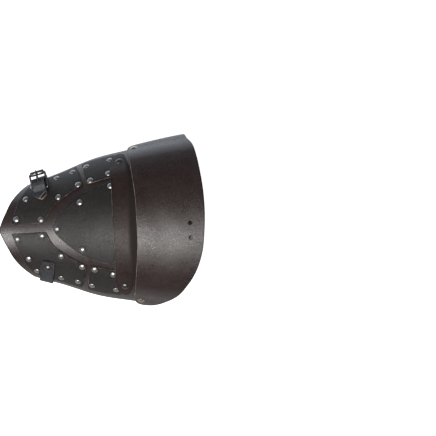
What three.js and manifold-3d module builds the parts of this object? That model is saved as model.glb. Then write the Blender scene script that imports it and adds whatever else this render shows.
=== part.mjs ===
// Articulated leather pauldron: a domed arm plate with riveted overlay plates,
// a shoulder band and a neck plate on pivot rivets, and a buckled arm strap.
// Millimetres. X runs from the pointed arm end to the neck, Y from front to back, Z up.

import * as THREE from 'three';
import { mergeVertices } from 'three/addons/utils/BufferGeometryUtils.js';
import Module from 'manifold-3d';

const wasm = await Module();
wasm.setup();

// The shoulder form that every leather plate is bent over
const formStart = -143.6;
const formLength = 287.7;
const formHalfWidth = 121;
const formHeight = 94;

// Leather thicknesses and the gaps between layers
const baseThickness = 2.6;
const overlayThickness = 2.2;
const bandThickness = 2.6;
const neckThickness = 3;
const strapThickness = 2.2;
const sheetGap = 0.5;
const coverClearance = 0.6;
const chapeClearance = 1;
const edgeRadius = 4;

// Base plate
const baseUnderNeckPlate = 15.6;
const baseCornerRadius = 7;

// Overlay plates
const outerSetback = 17.1;
const outerLength = 102.5;
const innerSeam = 7.5;
const innerTuck = 5.8;
const centreTipGap = 9.7;
const centreTuck = 7.8;
const centreTipRadius = 5;

// Shoulder band
const bandSetback = 159.8;
const bandWidth = 41.8;
const bandRiseAtCrown = 2.1;
const bandPivotInset = 12;
const bandPivotAround = 0.595;

// Neck plate
const neckSetback = 23.6;
const neckRiseAtHem = 1.5;
const neckClearanceAtCrown = 2.4;
const neckPivotInset = 9.2;
const neckPivotAround = 0.8;
const neckCornerRadius = 8;
const laceHoleDiameter = 5;
const laceHoleInset = 21;

// Small dome rivets
const rivetHeadDiameter = 9;
const rivetHeadHeight = 1.8;
const rivetShankDiameter = 3.4;
const burrDiameter = 7;
const burrHeight = 1;
const rivetSeat = 0.35;
const burrSeat = 0.6;
const holeClearance = 0.4;

// Pivot rivets
const pivotHeadDiameter = 11;
const pivotHeadHeight = 2.4;
const pivotShankDiameter = 4;
const pivotBurrDiameter = 8;
const pivotBurrSeat = 1.1;
const pivotHoleClearance = 1;
const spacerDiameter = 9;
const spacerSeat = 0.6;
const spacerClearance = 0.4;

// Strap tab rivet and chape rivet
const snapHeadDiameter = 12;
const snapHeadHeight = 3;
const chapeRivetHeadDiameter = 7;
const chapeRivetHeadHeight = 1;

// Arm strap
const strapWidth = 18;
const strapAlongOuter = 0.428;
const strapFrontShift = 0.4;
const strapTipShift = -2.9;
const tabTopShift = 5.4;
const tabTopAround = 0.424;
const tabDropAround = 0.82;
const snapAround = 0.531;
const strapTipAround = 0.348;
const strapTipLength = 7;
const strapPointWidth = 1.8;
const strapRiseAround = 0.04;
const hemClearance = 0.8;
const strapBendRadius = 0.8;
const tabCornerCut = 2.5;

// Roller buckle
const barAround = 0.509;
const buckleTilt = -7;
const barSpan = 22.5;
const frameWidth = 25;
const wireWidth = 2.7;
const barWidth = 3;
const frameThickness = 2.8;
const frameCornerRadius = 3.5;
const barClearance = 0.35;
const rollerWall = 1.1;
const rollerEndGap = 0.4;
const prongWidth = 3;
const prongThickness = 2;
const prongReach = 3.4;
const prongEyeWall = 1.4;
const prongRest = 0.3;
const prongTipBevel = 0.8;
const prongSlotClearance = 0.8;
const prongSlotStart = 0.16;
const prongSlotEnd = 0.85;
const chapeWidth = 16;
const chapeThickness = 1.6;
const chapeEndAround = 0.35;
const chapeRivetAround = 0.393;
const chapeRivetShift = -1;
const chapeFoldOver = 0.084;
const chapeFoldUnder = 0.04;
const chapePointLength = 6;

// How finely the curved sheets and round pieces are faceted
const alongStep = 23;
const aroundSteps = 12;
const rivetSides = 8;
const holeSides = 6;
const holeReach = 30;
const frameCornerSteps = 3;

// Section of the form at each station: share of its length, half width and height
const formSections = [
  { along: 0.0, width: 0.413, height: 0.457 },
  { along: 0.141, width: 0.507, height: 0.564 },
  { along: 0.291, width: 0.62, height: 0.702 },
  { along: 0.465, width: 0.769, height: 0.862 },
  { along: 0.638, width: 0.855, height: 0.947 },
  { along: 0.812, width: 0.934, height: 0.979 },
  { along: 1.0, width: 1.0, height: 1.0 },
];

// Outlines: along is a share of the plate's length from its start,
// around is a share of the quarter turn from the crown (0) to the floor (1)
const baseLeafEnd = [
  { along: 0.0, around: 0.0 },
  { along: 0.01, around: 0.07 },
  { along: 0.033, around: 0.2 },
  { along: 0.056, around: 0.31 },
  { along: 0.084, around: 0.45 },
  { along: 0.14, around: 0.65 },
  { along: 0.194, around: 0.82 },
  { along: 0.232, around: 0.964 },
];
const baseHem = [
  { along: 0.232, around: 0.964 },
  { along: 1.0, around: 1.0 },
];
const baseNeckEnd = [
  { along: 1.0, around: 1.0 },
  { along: 0.985, around: 0.8 },
  { along: 0.96, around: 0.5 },
  { along: 0.948, around: 0.0 },
];
const outerTipSide = [
  { along: 0.0, around: 0.066 },
  { along: 0.044, around: 0.2 },
  { along: 0.112, around: 0.4 },
  { along: 0.21, around: 0.6 },
  { along: 0.288, around: 0.72 },
];
const outerHemSide = [
  { along: 0.288, around: 0.72 },
  { along: 0.522, around: 0.755 },
  { along: 0.922, around: 0.775 },
];
const outerNeckSide = [
  { along: 0.922, around: 0.775 },
  { along: 0.966, around: 0.57 },
  { along: 1.0, around: 0.42 },
];
const outerCentreSide = [
  { along: 1.0, around: 0.42 },
  { along: 0.854, around: 0.37 },
  { along: 0.698, around: 0.308 },
  { along: 0.58, around: 0.235 },
  { along: 0.468, around: 0.058 },
];
const outerRidgeSide = [
  { along: 0.468, around: 0.058 },
  { along: 0.0, around: 0.066 },
];
const innerTipSide = [
  { along: 0.172, around: 0.412 },
  { along: 0.097, around: 0.5 },
  { along: 0.0, around: 0.77 },
];
const innerHemSide = [
  { along: 0.0, around: 0.77 },
  { along: 1.0, around: 0.77 },
];
const innerNeckSide = [
  { along: 1.0, around: 0.77 },
  { along: 1.0, around: 0.435 },
];
const innerCentreSide = [
  { along: 1.0, around: 0.435 },
  { along: 0.172, around: 0.412 },
];
const centreSide = [
  { along: 0.0, around: 0.0 },
  { along: 0.055, around: 0.09 },
  { along: 0.16, around: 0.168 },
  { along: 0.3, around: 0.25 },
  { along: 0.42, around: 0.3 },
  { along: 0.547, around: 0.328 },
  { along: 0.72, around: 0.355 },
  { along: 1.0, around: 0.405 },
];
const bandSide = [
  { along: 0.0, around: 0.0 },
  { along: 0.0, around: 0.3 },
  { along: 0.0, around: 0.6 },
  { along: 0.035, around: 0.65 },
  { along: 0.15, around: 0.698 },
  { along: 0.3, around: 0.715 },
  { along: 0.42, around: 0.695 },
  { along: 0.486, around: 0.655 },
  { along: 0.533, around: 0.6 },
  { along: 0.62, around: 0.5 },
  { along: 0.79, around: 0.35 },
  { along: 0.94, around: 0.18 },
  { along: 1.0, around: 0.0 },
];
const neckBandSide = [
  { along: 0.09, around: 0.0 },
  { along: 0.083, around: 0.2 },
  { along: 0.045, around: 0.43 },
  { along: 0.0165, around: 0.63 },
  { along: 0.0, around: 0.745 },
  { along: 0.004, around: 0.81 },
  { along: 0.018, around: 0.87 },
  { along: 0.05, around: 0.925 },
  { along: 0.11, around: 0.958 },
];
const neckBackHem = [
  { along: 0.11, around: 0.958 },
  { along: 0.4, around: 0.962 },
  { along: 0.765, around: 0.955 },
];
const neckCollarSide = [
  { along: 0.765, around: 0.955 },
  { along: 0.823, around: 0.715 },
  { along: 0.89, around: 0.57 },
  { along: 0.962, around: 0.34 },
  { along: 0.998, around: 0.153 },
  { along: 1.0, around: 0.02 },
  { along: 0.982, around: -0.097 },
  { along: 0.948, around: -0.22 },
  { along: 0.9, around: -0.306 },
  { along: 0.81, around: -0.415 },
  { along: 0.68, around: -0.53 },
  { along: 0.5, around: -0.695 },
  { along: 0.336, around: -0.835 },
  { along: 0.2, around: -0.925 },
  { along: 0.11, around: -0.958 },
];

// Rivet places on each kind of plate, in the plate's own shares
const outerRivets = [
  { along: 0.078, around: 0.144 },
  { along: 0.414, around: 0.1 },
  { along: 0.216, around: 0.444 },
  { along: 0.66, around: 0.347 },
  { along: 0.937, around: 0.438 },
  { along: 0.866, around: 0.675 },
  { along: 0.644, around: 0.68 },
  { along: 0.32, around: 0.655 },
];
const innerRivets = [
  { along: 0.245, around: 0.45 },
  { along: 0.137, around: 0.68 },
  { along: 0.8, around: 0.485 },
  { along: 0.85, around: 0.686 },
];
const centreRivets = [
  { along: 0.066, around: -0.022 },
  { along: 0.43, around: 0.228 },
  { along: 0.435, around: -0.246 },
  { along: 0.902, around: 0.34 },
  { along: 0.957, around: -0.34 },
];
const laceHoles = [
  { around: -0.028 },
  { around: -0.129 },
];

const browns = new THREE.MeshStandardMaterial({ color: 0x3b2722, roughness: 0.5, metalness: 0 });
const blacks = new THREE.MeshStandardMaterial({ color: 0x35312e, roughness: 0.45, metalness: 0 });
const nickel = new THREE.MeshStandardMaterial({ color: 0xc9c7c2, roughness: 0.25, metalness: 1 });
const warmNickel = new THREE.MeshStandardMaterial({ color: 0xb9a987, roughness: 0.3, metalness: 1 });

// Where each piece starts and how long it is, from the piece that it meets
const baseStart = formStart;
const outerStart = baseStart + outerSetback;
const innerStart = outerStart + outerLength * outerHemSide.at(-1).along + innerSeam;
const centreStart = outerStart + outerLength * outerCentreSide.at(-1).along + centreTipGap;
const bandStart = baseStart + bandSetback;
const neckStart = bandStart + neckSetback;
const baseLength = neckStart + baseUnderNeckPlate - baseStart;
const innerLength = bandStart + innerTuck - innerStart;
const centreLength = bandStart + centreTuck - centreStart;
const neckLength = formStart + formLength - neckStart;
const strapBackX = outerStart + outerLength * strapAlongOuter;
const strapFrontX = strapBackX + strapFrontShift;
const strapTipX = strapBackX + strapTipShift;
const tabTopX = strapBackX + tabTopShift;
const hemAround = baseHem[0].around;

// Value of a column of the form's table at x, on a smooth curve through its rows
function formValue(x, column) {
  const share = THREE.MathUtils.clamp((x - formStart) / formLength, 0, 1);
  const last = formSections.length - 1;
  let row = 0;
  while (row < last - 1 && share > formSections[row + 1].along) row += 1;
  const slope = (index) => {
    const before = formSections[Math.max(index - 1, 0)];
    const after = formSections[Math.min(index + 1, last)];
    return (after[column] - before[column]) / (after.along - before.along);
  };
  const low = formSections[row];
  const high = formSections[row + 1];
  const span = high.along - low.along;
  const t = (share - low.along) / span;
  const lowPart = (1 + 2 * t) * (1 - t) ** 2 * low[column] + t * (1 - t) ** 2 * span * slope(row);
  const highPart = t * t * (3 - 2 * t) * high[column] + t * t * (t - 1) * span * slope(row + 1);
  return lowPart + highPart;
}

// Point at a distance outside the form, straight out from the half-ellipse section at x
function formPoint(x, around, distance) {
  const angle = around * Math.PI / 2;
  const width = formHalfWidth * formValue(x, 'width');
  const height = formHeight * formValue(x, 'height');
  const out = new THREE.Vector2(Math.sin(angle) / width, Math.cos(angle) / height).normalize();
  return new THREE.Vector3(
    x,
    width * Math.sin(angle) + distance * out.x,
    height * Math.cos(angle) + distance * out.y,
  );
}

// Direction straight out of a layer of the form
function formNormal(x, around, distance) {
  const step = 0.01;
  const reach = step * formHalfWidth;
  const along = formPoint(x + reach, around, distance).sub(formPoint(x - reach, around, distance));
  const across = formPoint(x, around + step, distance).sub(formPoint(x, around - step, distance));
  return along.cross(across).normalize();
}

// 0 beyond the low share, 1 beyond the high one, smooth between them
function fade(value, low, high) {
  return THREE.MathUtils.smoothstep(value, low, high);
}

// Distance of each layer's inner face from the form
const overlayInner = baseThickness + sheetGap;
const overlayOuter = overlayInner + overlayThickness;
const bandInnerAtEnds = overlayOuter + coverClearance;
const bandOuterAtCrown = bandInnerAtEnds + bandRiseAtCrown + bandThickness;
const neckInnerAtHem = baseThickness + neckRiseAtHem;
const neckInnerAtCrown = bandOuterAtCrown + neckClearanceAtCrown;

function baseInner() {
  return 0;
}

function overlayLayer() {
  return overlayInner;
}

function bandLayer(around) {
  return bandInnerAtEnds + bandRiseAtCrown * (1 - fade(Math.abs(around), 0.42, 0.58));
}

function neckLayer(around) {
  return neckInnerAtHem + (neckInnerAtCrown - neckInnerAtHem) * (1 - fade(Math.abs(around), 0.52, 0.8));
}

// Outline of a plate on the form: smooth sides joined by rounded corners
function plateOutline(sides, start, length, radius) {
  const perShare = formHalfWidth;
  const curves = sides.map((side) => {
    const points = side.map((row) => new THREE.Vector3(
      start + length * row.along, perShare * row.around, 0,
    ));
    const curve = new THREE.CatmullRomCurve3(points, false, 'centripetal');
    const count = points.length - 1;
    return { curve, count, size: curve.getLength() };
  });
  const outline = [];
  curves.forEach(({ curve, count, size }, index) => {
    const next = curves[(index + 1) % curves.length];
    const cut = Math.min(radius, size / 3, next.size / 3);
    const trim = Math.min(radius, size / 3, curves.at(index - 1).size / 3) / size;
    for (let k = 0; k <= count; k += 1) {
      outline.push(curve.getPointAt(THREE.MathUtils.lerp(trim, 1 - cut / size, k / count)));
    }
    const corner = new THREE.QuadraticBezierCurve3(
      curve.getPointAt(1 - cut / size), curve.getPointAt(1), next.curve.getPointAt(cut / next.size),
    );
    outline.push(corner.getPoint(1 / 3), corner.getPoint(2 / 3));
  });
  return outline.map((point) => new THREE.Vector2(point.x, point.y / perShare));
}

// The other side of a plate's edge, from the last row back to the first
function mirrored(side) {
  return side.map((row) => ({ along: row.along, around: -row.around })).reverse();
}

// Part of a polygon on one side of a line where the named coordinate is constant
function clipPolygon(polygon, axis, limit, side) {
  const kept = [];
  polygon.forEach((point, index) => {
    const next = polygon[(index + 1) % polygon.length];
    const here = side * (point[axis] - limit);
    const there = side * (next[axis] - limit);
    if (here >= 0) kept.push(point);
    if ((here > 0 && there < 0) || (here < 0 && there > 0)) {
      const crossing = point.clone().lerp(next, here / (here - there));
      crossing[axis] = limit;
      kept.push(crossing);
    }
  });
  return kept;
}

// Sheet cut to an outline and bent over the form: flat cells, so that the stacked
// sheets share the same creases, with a wall round the cut edge
function bentSheet(outline, layer, thickness) {
  const flat = [];
  const triangles = [];
  const seen = new Map();
  const index = (point) => {
    const key = `${Math.round(point.x * 1e3)},${Math.round(point.y * 1e5)}`;
    if (!seen.has(key)) {
      seen.set(key, flat.length);
      flat.push(point);
    }
    return seen.get(key);
  };
  const columns = Math.ceil(formLength / alongStep);
  for (let i = 0; i < columns; i += 1) {
    const left = formStart + formLength * i / columns;
    const right = formStart + formLength * (i + 1) / columns;
    const strip = clipPolygon(clipPolygon(outline, 'x', left, 1), 'x', right, -1);
    for (let j = -aroundSteps; j < aroundSteps && strip.length > 2; j += 1) {
      const low = clipPolygon(strip, 'y', j / aroundSteps, 1);
      const corners = [...new Set(clipPolygon(low, 'y', (j + 1) / aroundSteps, -1).map(index))];
      const cell = corners.map((k) => flat[k]);
      if (cell.length < 3) continue;
      THREE.ShapeUtils.triangulateShape(cell, []).forEach((face) => {
        const [a, b, c] = face.map((k) => corners[k]);
        const turn = flat[b].clone().sub(flat[a]).cross(flat[c].clone().sub(flat[a]));
        triangles.push(turn > 0 ? [a, b, c] : [a, c, b]);
      });
    }
  }
  const edges = new Set(triangles.flatMap(([a, b, c]) => [`${a},${b}`, `${b},${c}`, `${c},${a}`]));
  const positions = [];
  [thickness, 0].forEach((height) => flat.forEach((point) => {
    positions.push(...formPoint(point.x, point.y, layer(point.y) + height).toArray());
  }));
  const faces = triangles.flatMap(([a, b, c]) => [a, b, c]);
  const inner = flat.length;
  triangles.forEach(([a, b, c]) => faces.push(inner + a, inner + c, inner + b));
  edges.forEach((edge) => {
    const [a, b] = edge.split(',').map(Number);
    if (!edges.has(`${b},${a}`)) faces.push(a, inner + a, inner + b, a, inner + b, b);
  });
  const geometry = new THREE.BufferGeometry();
  geometry.setAttribute('position', new THREE.Float32BufferAttribute(positions, 3));
  geometry.setIndex(faces);
  return geometry;
}

// Closed geometry as a solid that can be cut
function solidOf(geometry) {
  const bare = geometry.clone();
  bare.deleteAttribute('normal');
  bare.deleteAttribute('uv');
  const merged = mergeVertices(bare, 1e-4);
  return new wasm.Manifold(new wasm.Mesh({
    numProp: 3,
    vertProperties: new Float32Array(merged.attributes.position.array),
    triVerts: new Uint32Array(merged.index.array),
  }));
}

// Geometry less a list of cutting geometries
function cutAway(geometry, cutters) {
  const solid = cutters.reduce((rest, cutter) => rest.subtract(solidOf(cutter)), solidOf(geometry));
  const mesh = solid.getMesh();
  const result = new THREE.BufferGeometry();
  result.setAttribute('position', new THREE.BufferAttribute(new Float32Array(mesh.vertProperties), 3));
  result.setIndex(Array.from(mesh.triVerts));
  return result;
}

// Turn that lays a piece's own Y axis along a direction
function turnTo(direction) {
  return new THREE.Quaternion().setFromUnitVectors(new THREE.Vector3(0, 1, 0), direction);
}

// Prism through every layer at a place on the form, to cut a round hole
function holeCutter(place, diameter) {
  const normal = formNormal(place.x, place.around, 0);
  const point = formPoint(place.x, place.around, place.level);
  const cutter = new THREE.CylinderGeometry(diameter / 2, diameter / 2, holeReach, holeSides);
  cutter.applyQuaternion(turnTo(normal));
  return cutter.translate(point.x, point.y, point.z);
}

// Dome rivet standing on its seat: head above, shank through the grip, burr behind it,
// and an optional spacer collar round the shank
function rivetGeometry(head, headHeight, shank, grip, burr, collar) {
  const profile = [
    [0, headHeight],
    [head * 0.34, headHeight * 0.72],
    [head * 0.5, 0],
    [shank / 2, 0],
  ];
  if (collar) {
    profile.push([shank / 2, collar.top], [collar.diameter / 2, collar.top]);
    profile.push([collar.diameter / 2, collar.bottom], [shank / 2, collar.bottom]);
  }
  profile.push([shank / 2, -grip], [burr / 2, -grip], [0, -grip - burrHeight]);
  const points = profile.reverse().map(([radius, height]) => new THREE.Vector2(radius, height));
  return new THREE.LatheGeometry(points, rivetSides);
}

const pauldron = new THREE.Group();

function addMesh(name, geometry, material) {
  const mesh = new THREE.Mesh(geometry, material);
  mesh.name = name;
  pauldron.add(mesh);
  return mesh;
}

// Rivet whose head sits on the layer at its level, with its axis straight out of the form
function addRivet(name, geometry, place, material) {
  const mesh = addMesh(name, geometry, material);
  const normal = formNormal(place.x, place.around, 0);
  mesh.quaternion.copy(turnTo(normal));
  mesh.position.copy(formPoint(place.x, place.around, place.level)).addScaledVector(normal, rivetSeat);
}

// Places of the rivets of one plate, on its own side of the crown
function rivetPlaces(rows, start, length, side) {
  return rows.map((row) => ({
    x: start + length * row.along, around: side * row.around, level: overlayOuter,
  }));
}

const sides = [{ label: 'back', sign: 1 }, { label: 'front', sign: -1 }];
const rivetHole = rivetShankDiameter + 2 * holeClearance;
const pivotPlateHole = pivotShankDiameter + 2 * holeClearance;
const pivotHole = pivotShankDiameter + 2 * pivotHoleClearance;

// Places of every fastener, with the layer that each head sits on
const outerPlaces = new Map(sides.map(({ label, sign }) => [
  label, rivetPlaces(outerRivets, outerStart, outerLength, sign),
]));
const innerPlaces = new Map(sides.map(({ label, sign }) => [
  label, rivetPlaces(innerRivets, innerStart, innerLength, sign),
]));
const centrePlaces = rivetPlaces(centreRivets, centreStart, centreLength, 1);
const strapInner = overlayOuter + coverClearance;
const snapPlace = {
  x: THREE.MathUtils.mapLinear(snapAround, tabTopAround, hemAround, tabTopX, strapFrontX),
  around: -snapAround,
  level: strapInner + strapThickness,
};
const chapeInner = overlayOuter + chapeClearance;
const chapeOuter = chapeInner + 2 * chapeThickness;
const chapePlace = { x: strapBackX + chapeRivetShift, around: chapeRivetAround, level: chapeOuter };
const bandPivotPlaces = sides.map(({ sign }) => ({
  x: bandStart + bandPivotInset,
  around: sign * bandPivotAround,
  level: bandInnerAtEnds + bandThickness,
}));
const neckPivotPlaces = sides.map(({ sign }) => ({
  x: neckStart + neckPivotInset,
  around: sign * neckPivotAround,
  level: neckInnerAtHem + neckThickness,
}));

// Base plate: one piece from the pointed arm end to the neck plate's pivots
function basePlate() {
  const outline = plateOutline(
    [
      mirrored(baseHem), mirrored(baseLeafEnd).concat(baseLeafEnd.slice(1)),
      baseHem, baseNeckEnd.concat(mirrored(baseNeckEnd).slice(1)),
    ],
    baseStart, baseLength, baseCornerRadius,
  ).reverse();
  const small = [
    ...outerPlaces.get('back'), ...outerPlaces.get('front'),
    ...innerPlaces.get('back'), ...innerPlaces.get('front'),
    ...centrePlaces, snapPlace, chapePlace,
  ];
  const cutters = small.map((place) => holeCutter(place, rivetHole));
  [...bandPivotPlaces, ...neckPivotPlaces].forEach((place) => {
    cutters.push(holeCutter(place, pivotHole));
  });
  return cutAway(bentSheet(outline, baseInner, baseThickness), cutters);
}

// Side of the plate's outline moved to the back or the front slope
function onSlope(side, sign) {
  return sign > 0 ? side : mirrored(side);
}

// Long reinforcement plate beside the ridge
function outerPlate(label, sign) {
  const loop = [outerTipSide, outerHemSide, outerNeckSide, outerCentreSide, outerRidgeSide];
  const turned = sign > 0 ? loop : [...loop].reverse();
  const outline = plateOutline(turned.map((side) => onSlope(side, sign)), outerStart, outerLength, edgeRadius);
  const places = [...outerPlaces.get(label), sign > 0 ? chapePlace : snapPlace];
  const cutters = places.map((place) => holeCutter(place, rivetHole));
  return cutAway(bentSheet(outline, overlayLayer, overlayThickness), cutters);
}

// Short reinforcement plate that ends under the band
function innerPlate(label, sign) {
  const loop = [innerTipSide, innerHemSide, innerNeckSide, innerCentreSide];
  const turned = sign > 0 ? loop : [...loop].reverse();
  const outline = plateOutline(turned.map((side) => onSlope(side, sign)), innerStart, innerLength, edgeRadius);
  const cutters = innerPlaces.get(label).map((place) => holeCutter(place, rivetHole));
  return cutAway(bentSheet(outline, overlayLayer, overlayThickness), cutters);
}

// Ogive-shaped plate on the crown that ends under the band
function centrePlate() {
  const end = [
    { along: 1, around: centreSide.at(-1).around },
    { along: 1, around: 0 },
    { along: 1, around: -centreSide.at(-1).around },
  ];
  const outline = plateOutline([centreSide, end, mirrored(centreSide)], centreStart, centreLength, centreTipRadius);
  const cutters = centrePlaces.map((place) => holeCutter(place, rivetHole));
  return cutAway(bentSheet(outline, overlayLayer, overlayThickness), cutters);
}

// Narrow band across the shoulder, round at both ends, wider at the crown where it is hidden
function shoulderBand() {
  const loop = bandSide.concat(mirrored(bandSide).slice(1, -1));
  const curve = new THREE.CatmullRomCurve3(
    loop.map((row) => new THREE.Vector3(bandStart + bandWidth * row.along, formHalfWidth * row.around, 0)),
    true, 'centripetal',
  );
  const outline = curve.getPoints(2 * loop.length).slice(0, -1)
    .map((point) => new THREE.Vector2(point.x, point.y / formHalfWidth));
  const cutters = bandPivotPlaces.map((place) => holeCutter(place, pivotPlateHole));
  return cutAway(bentSheet(outline, bandLayer, bandThickness), cutters);
}

// Wide plate next to the neck, cut away at the front, with two holes for lacing
function neckPlate() {
  const bandEdge = mirrored(neckBandSide).concat(neckBandSide.slice(1));
  const outline = plateOutline([bandEdge, neckBackHem, neckCollarSide], neckStart, neckLength, neckCornerRadius);
  const cutters = neckPivotPlaces.map((place) => holeCutter(place, pivotPlateHole));
  laceHoles.forEach(({ around }) => {
    const place = { x: neckStart + neckLength - laceHoleInset, around, level: neckInnerAtCrown };
    cutters.push(holeCutter(place, laceHoleDiameter));
  });
  return cutAway(bentSheet(outline, neckLayer, neckThickness), cutters);
}

// Buckle axes: along the bars, outward across the frame, and out of the frame
const loopInner = Math.hypot(barWidth, frameThickness) / 2 + barClearance;
const loopOuter = loopInner + chapeThickness;
const rollerRadius = loopInner + rollerWall;
const barCentre = formPoint(strapBackX, barAround, chapeInner + loopOuter);
const alongBar = formPoint(strapBackX + strapWidth / 2, barAround, 0)
  .sub(formPoint(strapBackX - strapWidth / 2, barAround, 0)).normalize();
const tilt = THREE.MathUtils.degToRad(buckleTilt);
const acrossBar = new THREE.Vector3(0, Math.cos(tilt), Math.sin(tilt));
acrossBar.addScaledVector(alongBar, -acrossBar.dot(alongBar)).normalize();
const outOfFrame = alongBar.clone().cross(acrossBar);
const buckleAxes = new THREE.Matrix4().makeBasis(alongBar, acrossBar, outOfFrame);
const profileAxes = new THREE.Matrix4().makeBasis(acrossBar, outOfFrame, alongBar);

// Point given along, across and above the buckle's bar
function bucklePoint(along, across, above) {
  return barCentre.clone().addScaledVector(alongBar, along)
    .addScaledVector(acrossBar, across).addScaledVector(outOfFrame, above);
}

// Edges of the strap's inner face, from the front tab round the hem, across the hollow,
// up behind the back hem, through the buckle and on to its pointed end
function strapPath() {
  const path = [];
  const onForm = (x, around, distance, width = strapWidth) => {
    path.push([-1, 1].map((side) => formPoint(x + side * width / 2, around, distance)));
  };
  const tabSteps = 8;
  onForm(tabTopX, -tabTopAround, strapInner, strapWidth - 2 * tabCornerCut);
  for (let k = 0; k <= tabSteps; k += 1) {
    const around = THREE.MathUtils.lerp(tabTopAround + tabCornerCut / formHalfWidth, hemAround, k / tabSteps);
    const drop = fade(around, tabDropAround, hemAround) * (strapInner - baseThickness - hemClearance);
    const x = THREE.MathUtils.mapLinear(around, tabTopAround, hemAround, tabTopX, strapFrontX);
    onForm(x, -around, strapInner - drop);
  }
  const turns = 3;
  const bend = (centre, sign, k) => {
    const angle = k / turns * Math.PI / 2;
    path.push([-1, 1].map((side) => {
      const x = centre + side * strapWidth / 2;
      const edge = formPoint(x, 1, baseThickness + hemClearance).y;
      const y = sign * (edge - strapBendRadius * (1 - Math.cos(angle)));
      return new THREE.Vector3(x, y, strapThickness + strapBendRadius * (1 - Math.sin(angle)));
    }));
  };
  for (let k = 0; k <= turns; k += 1) bend(strapFrontX, -1, k);
  for (let k = turns; k >= 0; k -= 1) bend(strapBackX, 1, k);
  const riseRows = [
    { across: 0.62, above: -0.3 },
    { across: 0.6, above: -0.02 },
    { across: 0.53, above: 0.16 },
    { across: 0.4, above: 0.265 },
    { across: 0.22, above: 0.285 },
    { across: 0.0, above: 0.24 },
  ];
  riseRows.forEach((row) => {
    path.push([-1, 1].map((side) => bucklePoint(side * strapWidth / 2, barSpan * row.across, barSpan * row.above)));
  });
  const overRivet = chapeOuter + rivetSeat + chapeRivetHeadHeight + sheetGap;
  const pointAround = strapTipAround + strapTipLength / formHalfWidth;
  onForm(THREE.MathUtils.lerp(strapBackX, strapTipX, 0.5), pointAround + strapRiseAround, overRivet);
  onForm(THREE.MathUtils.lerp(strapBackX, strapTipX, 0.8), pointAround, overRivet);
  onForm(strapTipX, strapTipAround, overRivet, strapPointWidth);
  return path;
}

// Flat strip between two edges, its thickness on the outer side
function stripGeometry(path, thickness) {
  const positions = [];
  path.forEach((edges, index) => {
    const before = path[Math.max(index - 1, 0)];
    const after = path[Math.min(index + 1, path.length - 1)];
    const run = after[0].clone().add(after[1]).sub(before[0]).sub(before[1]);
    const out = run.cross(edges[1].clone().sub(edges[0])).normalize();
    edges.forEach((edge) => {
      positions.push(...edge.toArray(), ...edge.clone().addScaledVector(out, thickness).toArray());
    });
  });
  const faces = [];
  const quad = (a, b, c, d) => faces.push(a, b, c, a, c, d);
  path.slice(1).forEach((_, index) => {
    const here = 4 * index;
    const next = here + 4;
    quad(here, here + 2, next + 2, next);
    quad(here + 1, next + 1, next + 3, here + 3);
    quad(here, next, next + 1, here + 1);
    quad(here + 2, here + 3, next + 3, next + 2);
  });
  const end = 4 * (path.length - 1);
  quad(0, 1, 3, 2);
  quad(end, end + 2, end + 3, end + 1);
  const geometry = new THREE.BufferGeometry();
  geometry.setAttribute('position', new THREE.Float32BufferAttribute(positions, 3));
  geometry.setIndex(faces);
  return geometry;
}

// Strap with its rivet hole and the slot that the prong goes through
function armStrap() {
  const slotStart = barSpan * prongSlotStart;
  const slotEnd = barSpan * prongSlotEnd;
  const slot = new THREE.BoxGeometry(
    prongWidth + 2 * prongSlotClearance, slotEnd - slotStart, prongThickness + 4 * prongSlotClearance,
  );
  slot.translate(0, (slotStart + slotEnd) / 2, rollerRadius + prongThickness / 2);
  slot.applyMatrix4(buckleAxes).translate(barCentre.x, barCentre.y, barCentre.z);
  return cutAway(stripGeometry(strapPath(), strapThickness), [holeCutter(snapPlace, rivetHole), slot]);
}

// Place of a layer of the form in the plane square to the chape bar
function beforeBar(around, distance) {
  let x = strapBackX;
  for (let k = 0; k < 4; k += 1) {
    x -= formPoint(x, around, distance).sub(barCentre).dot(alongBar) / alongBar.x;
  }
  const point = formPoint(x, around, distance).sub(barCentre);
  return new THREE.Vector2(point.dot(acrossBar), point.dot(outOfFrame));
}

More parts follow.
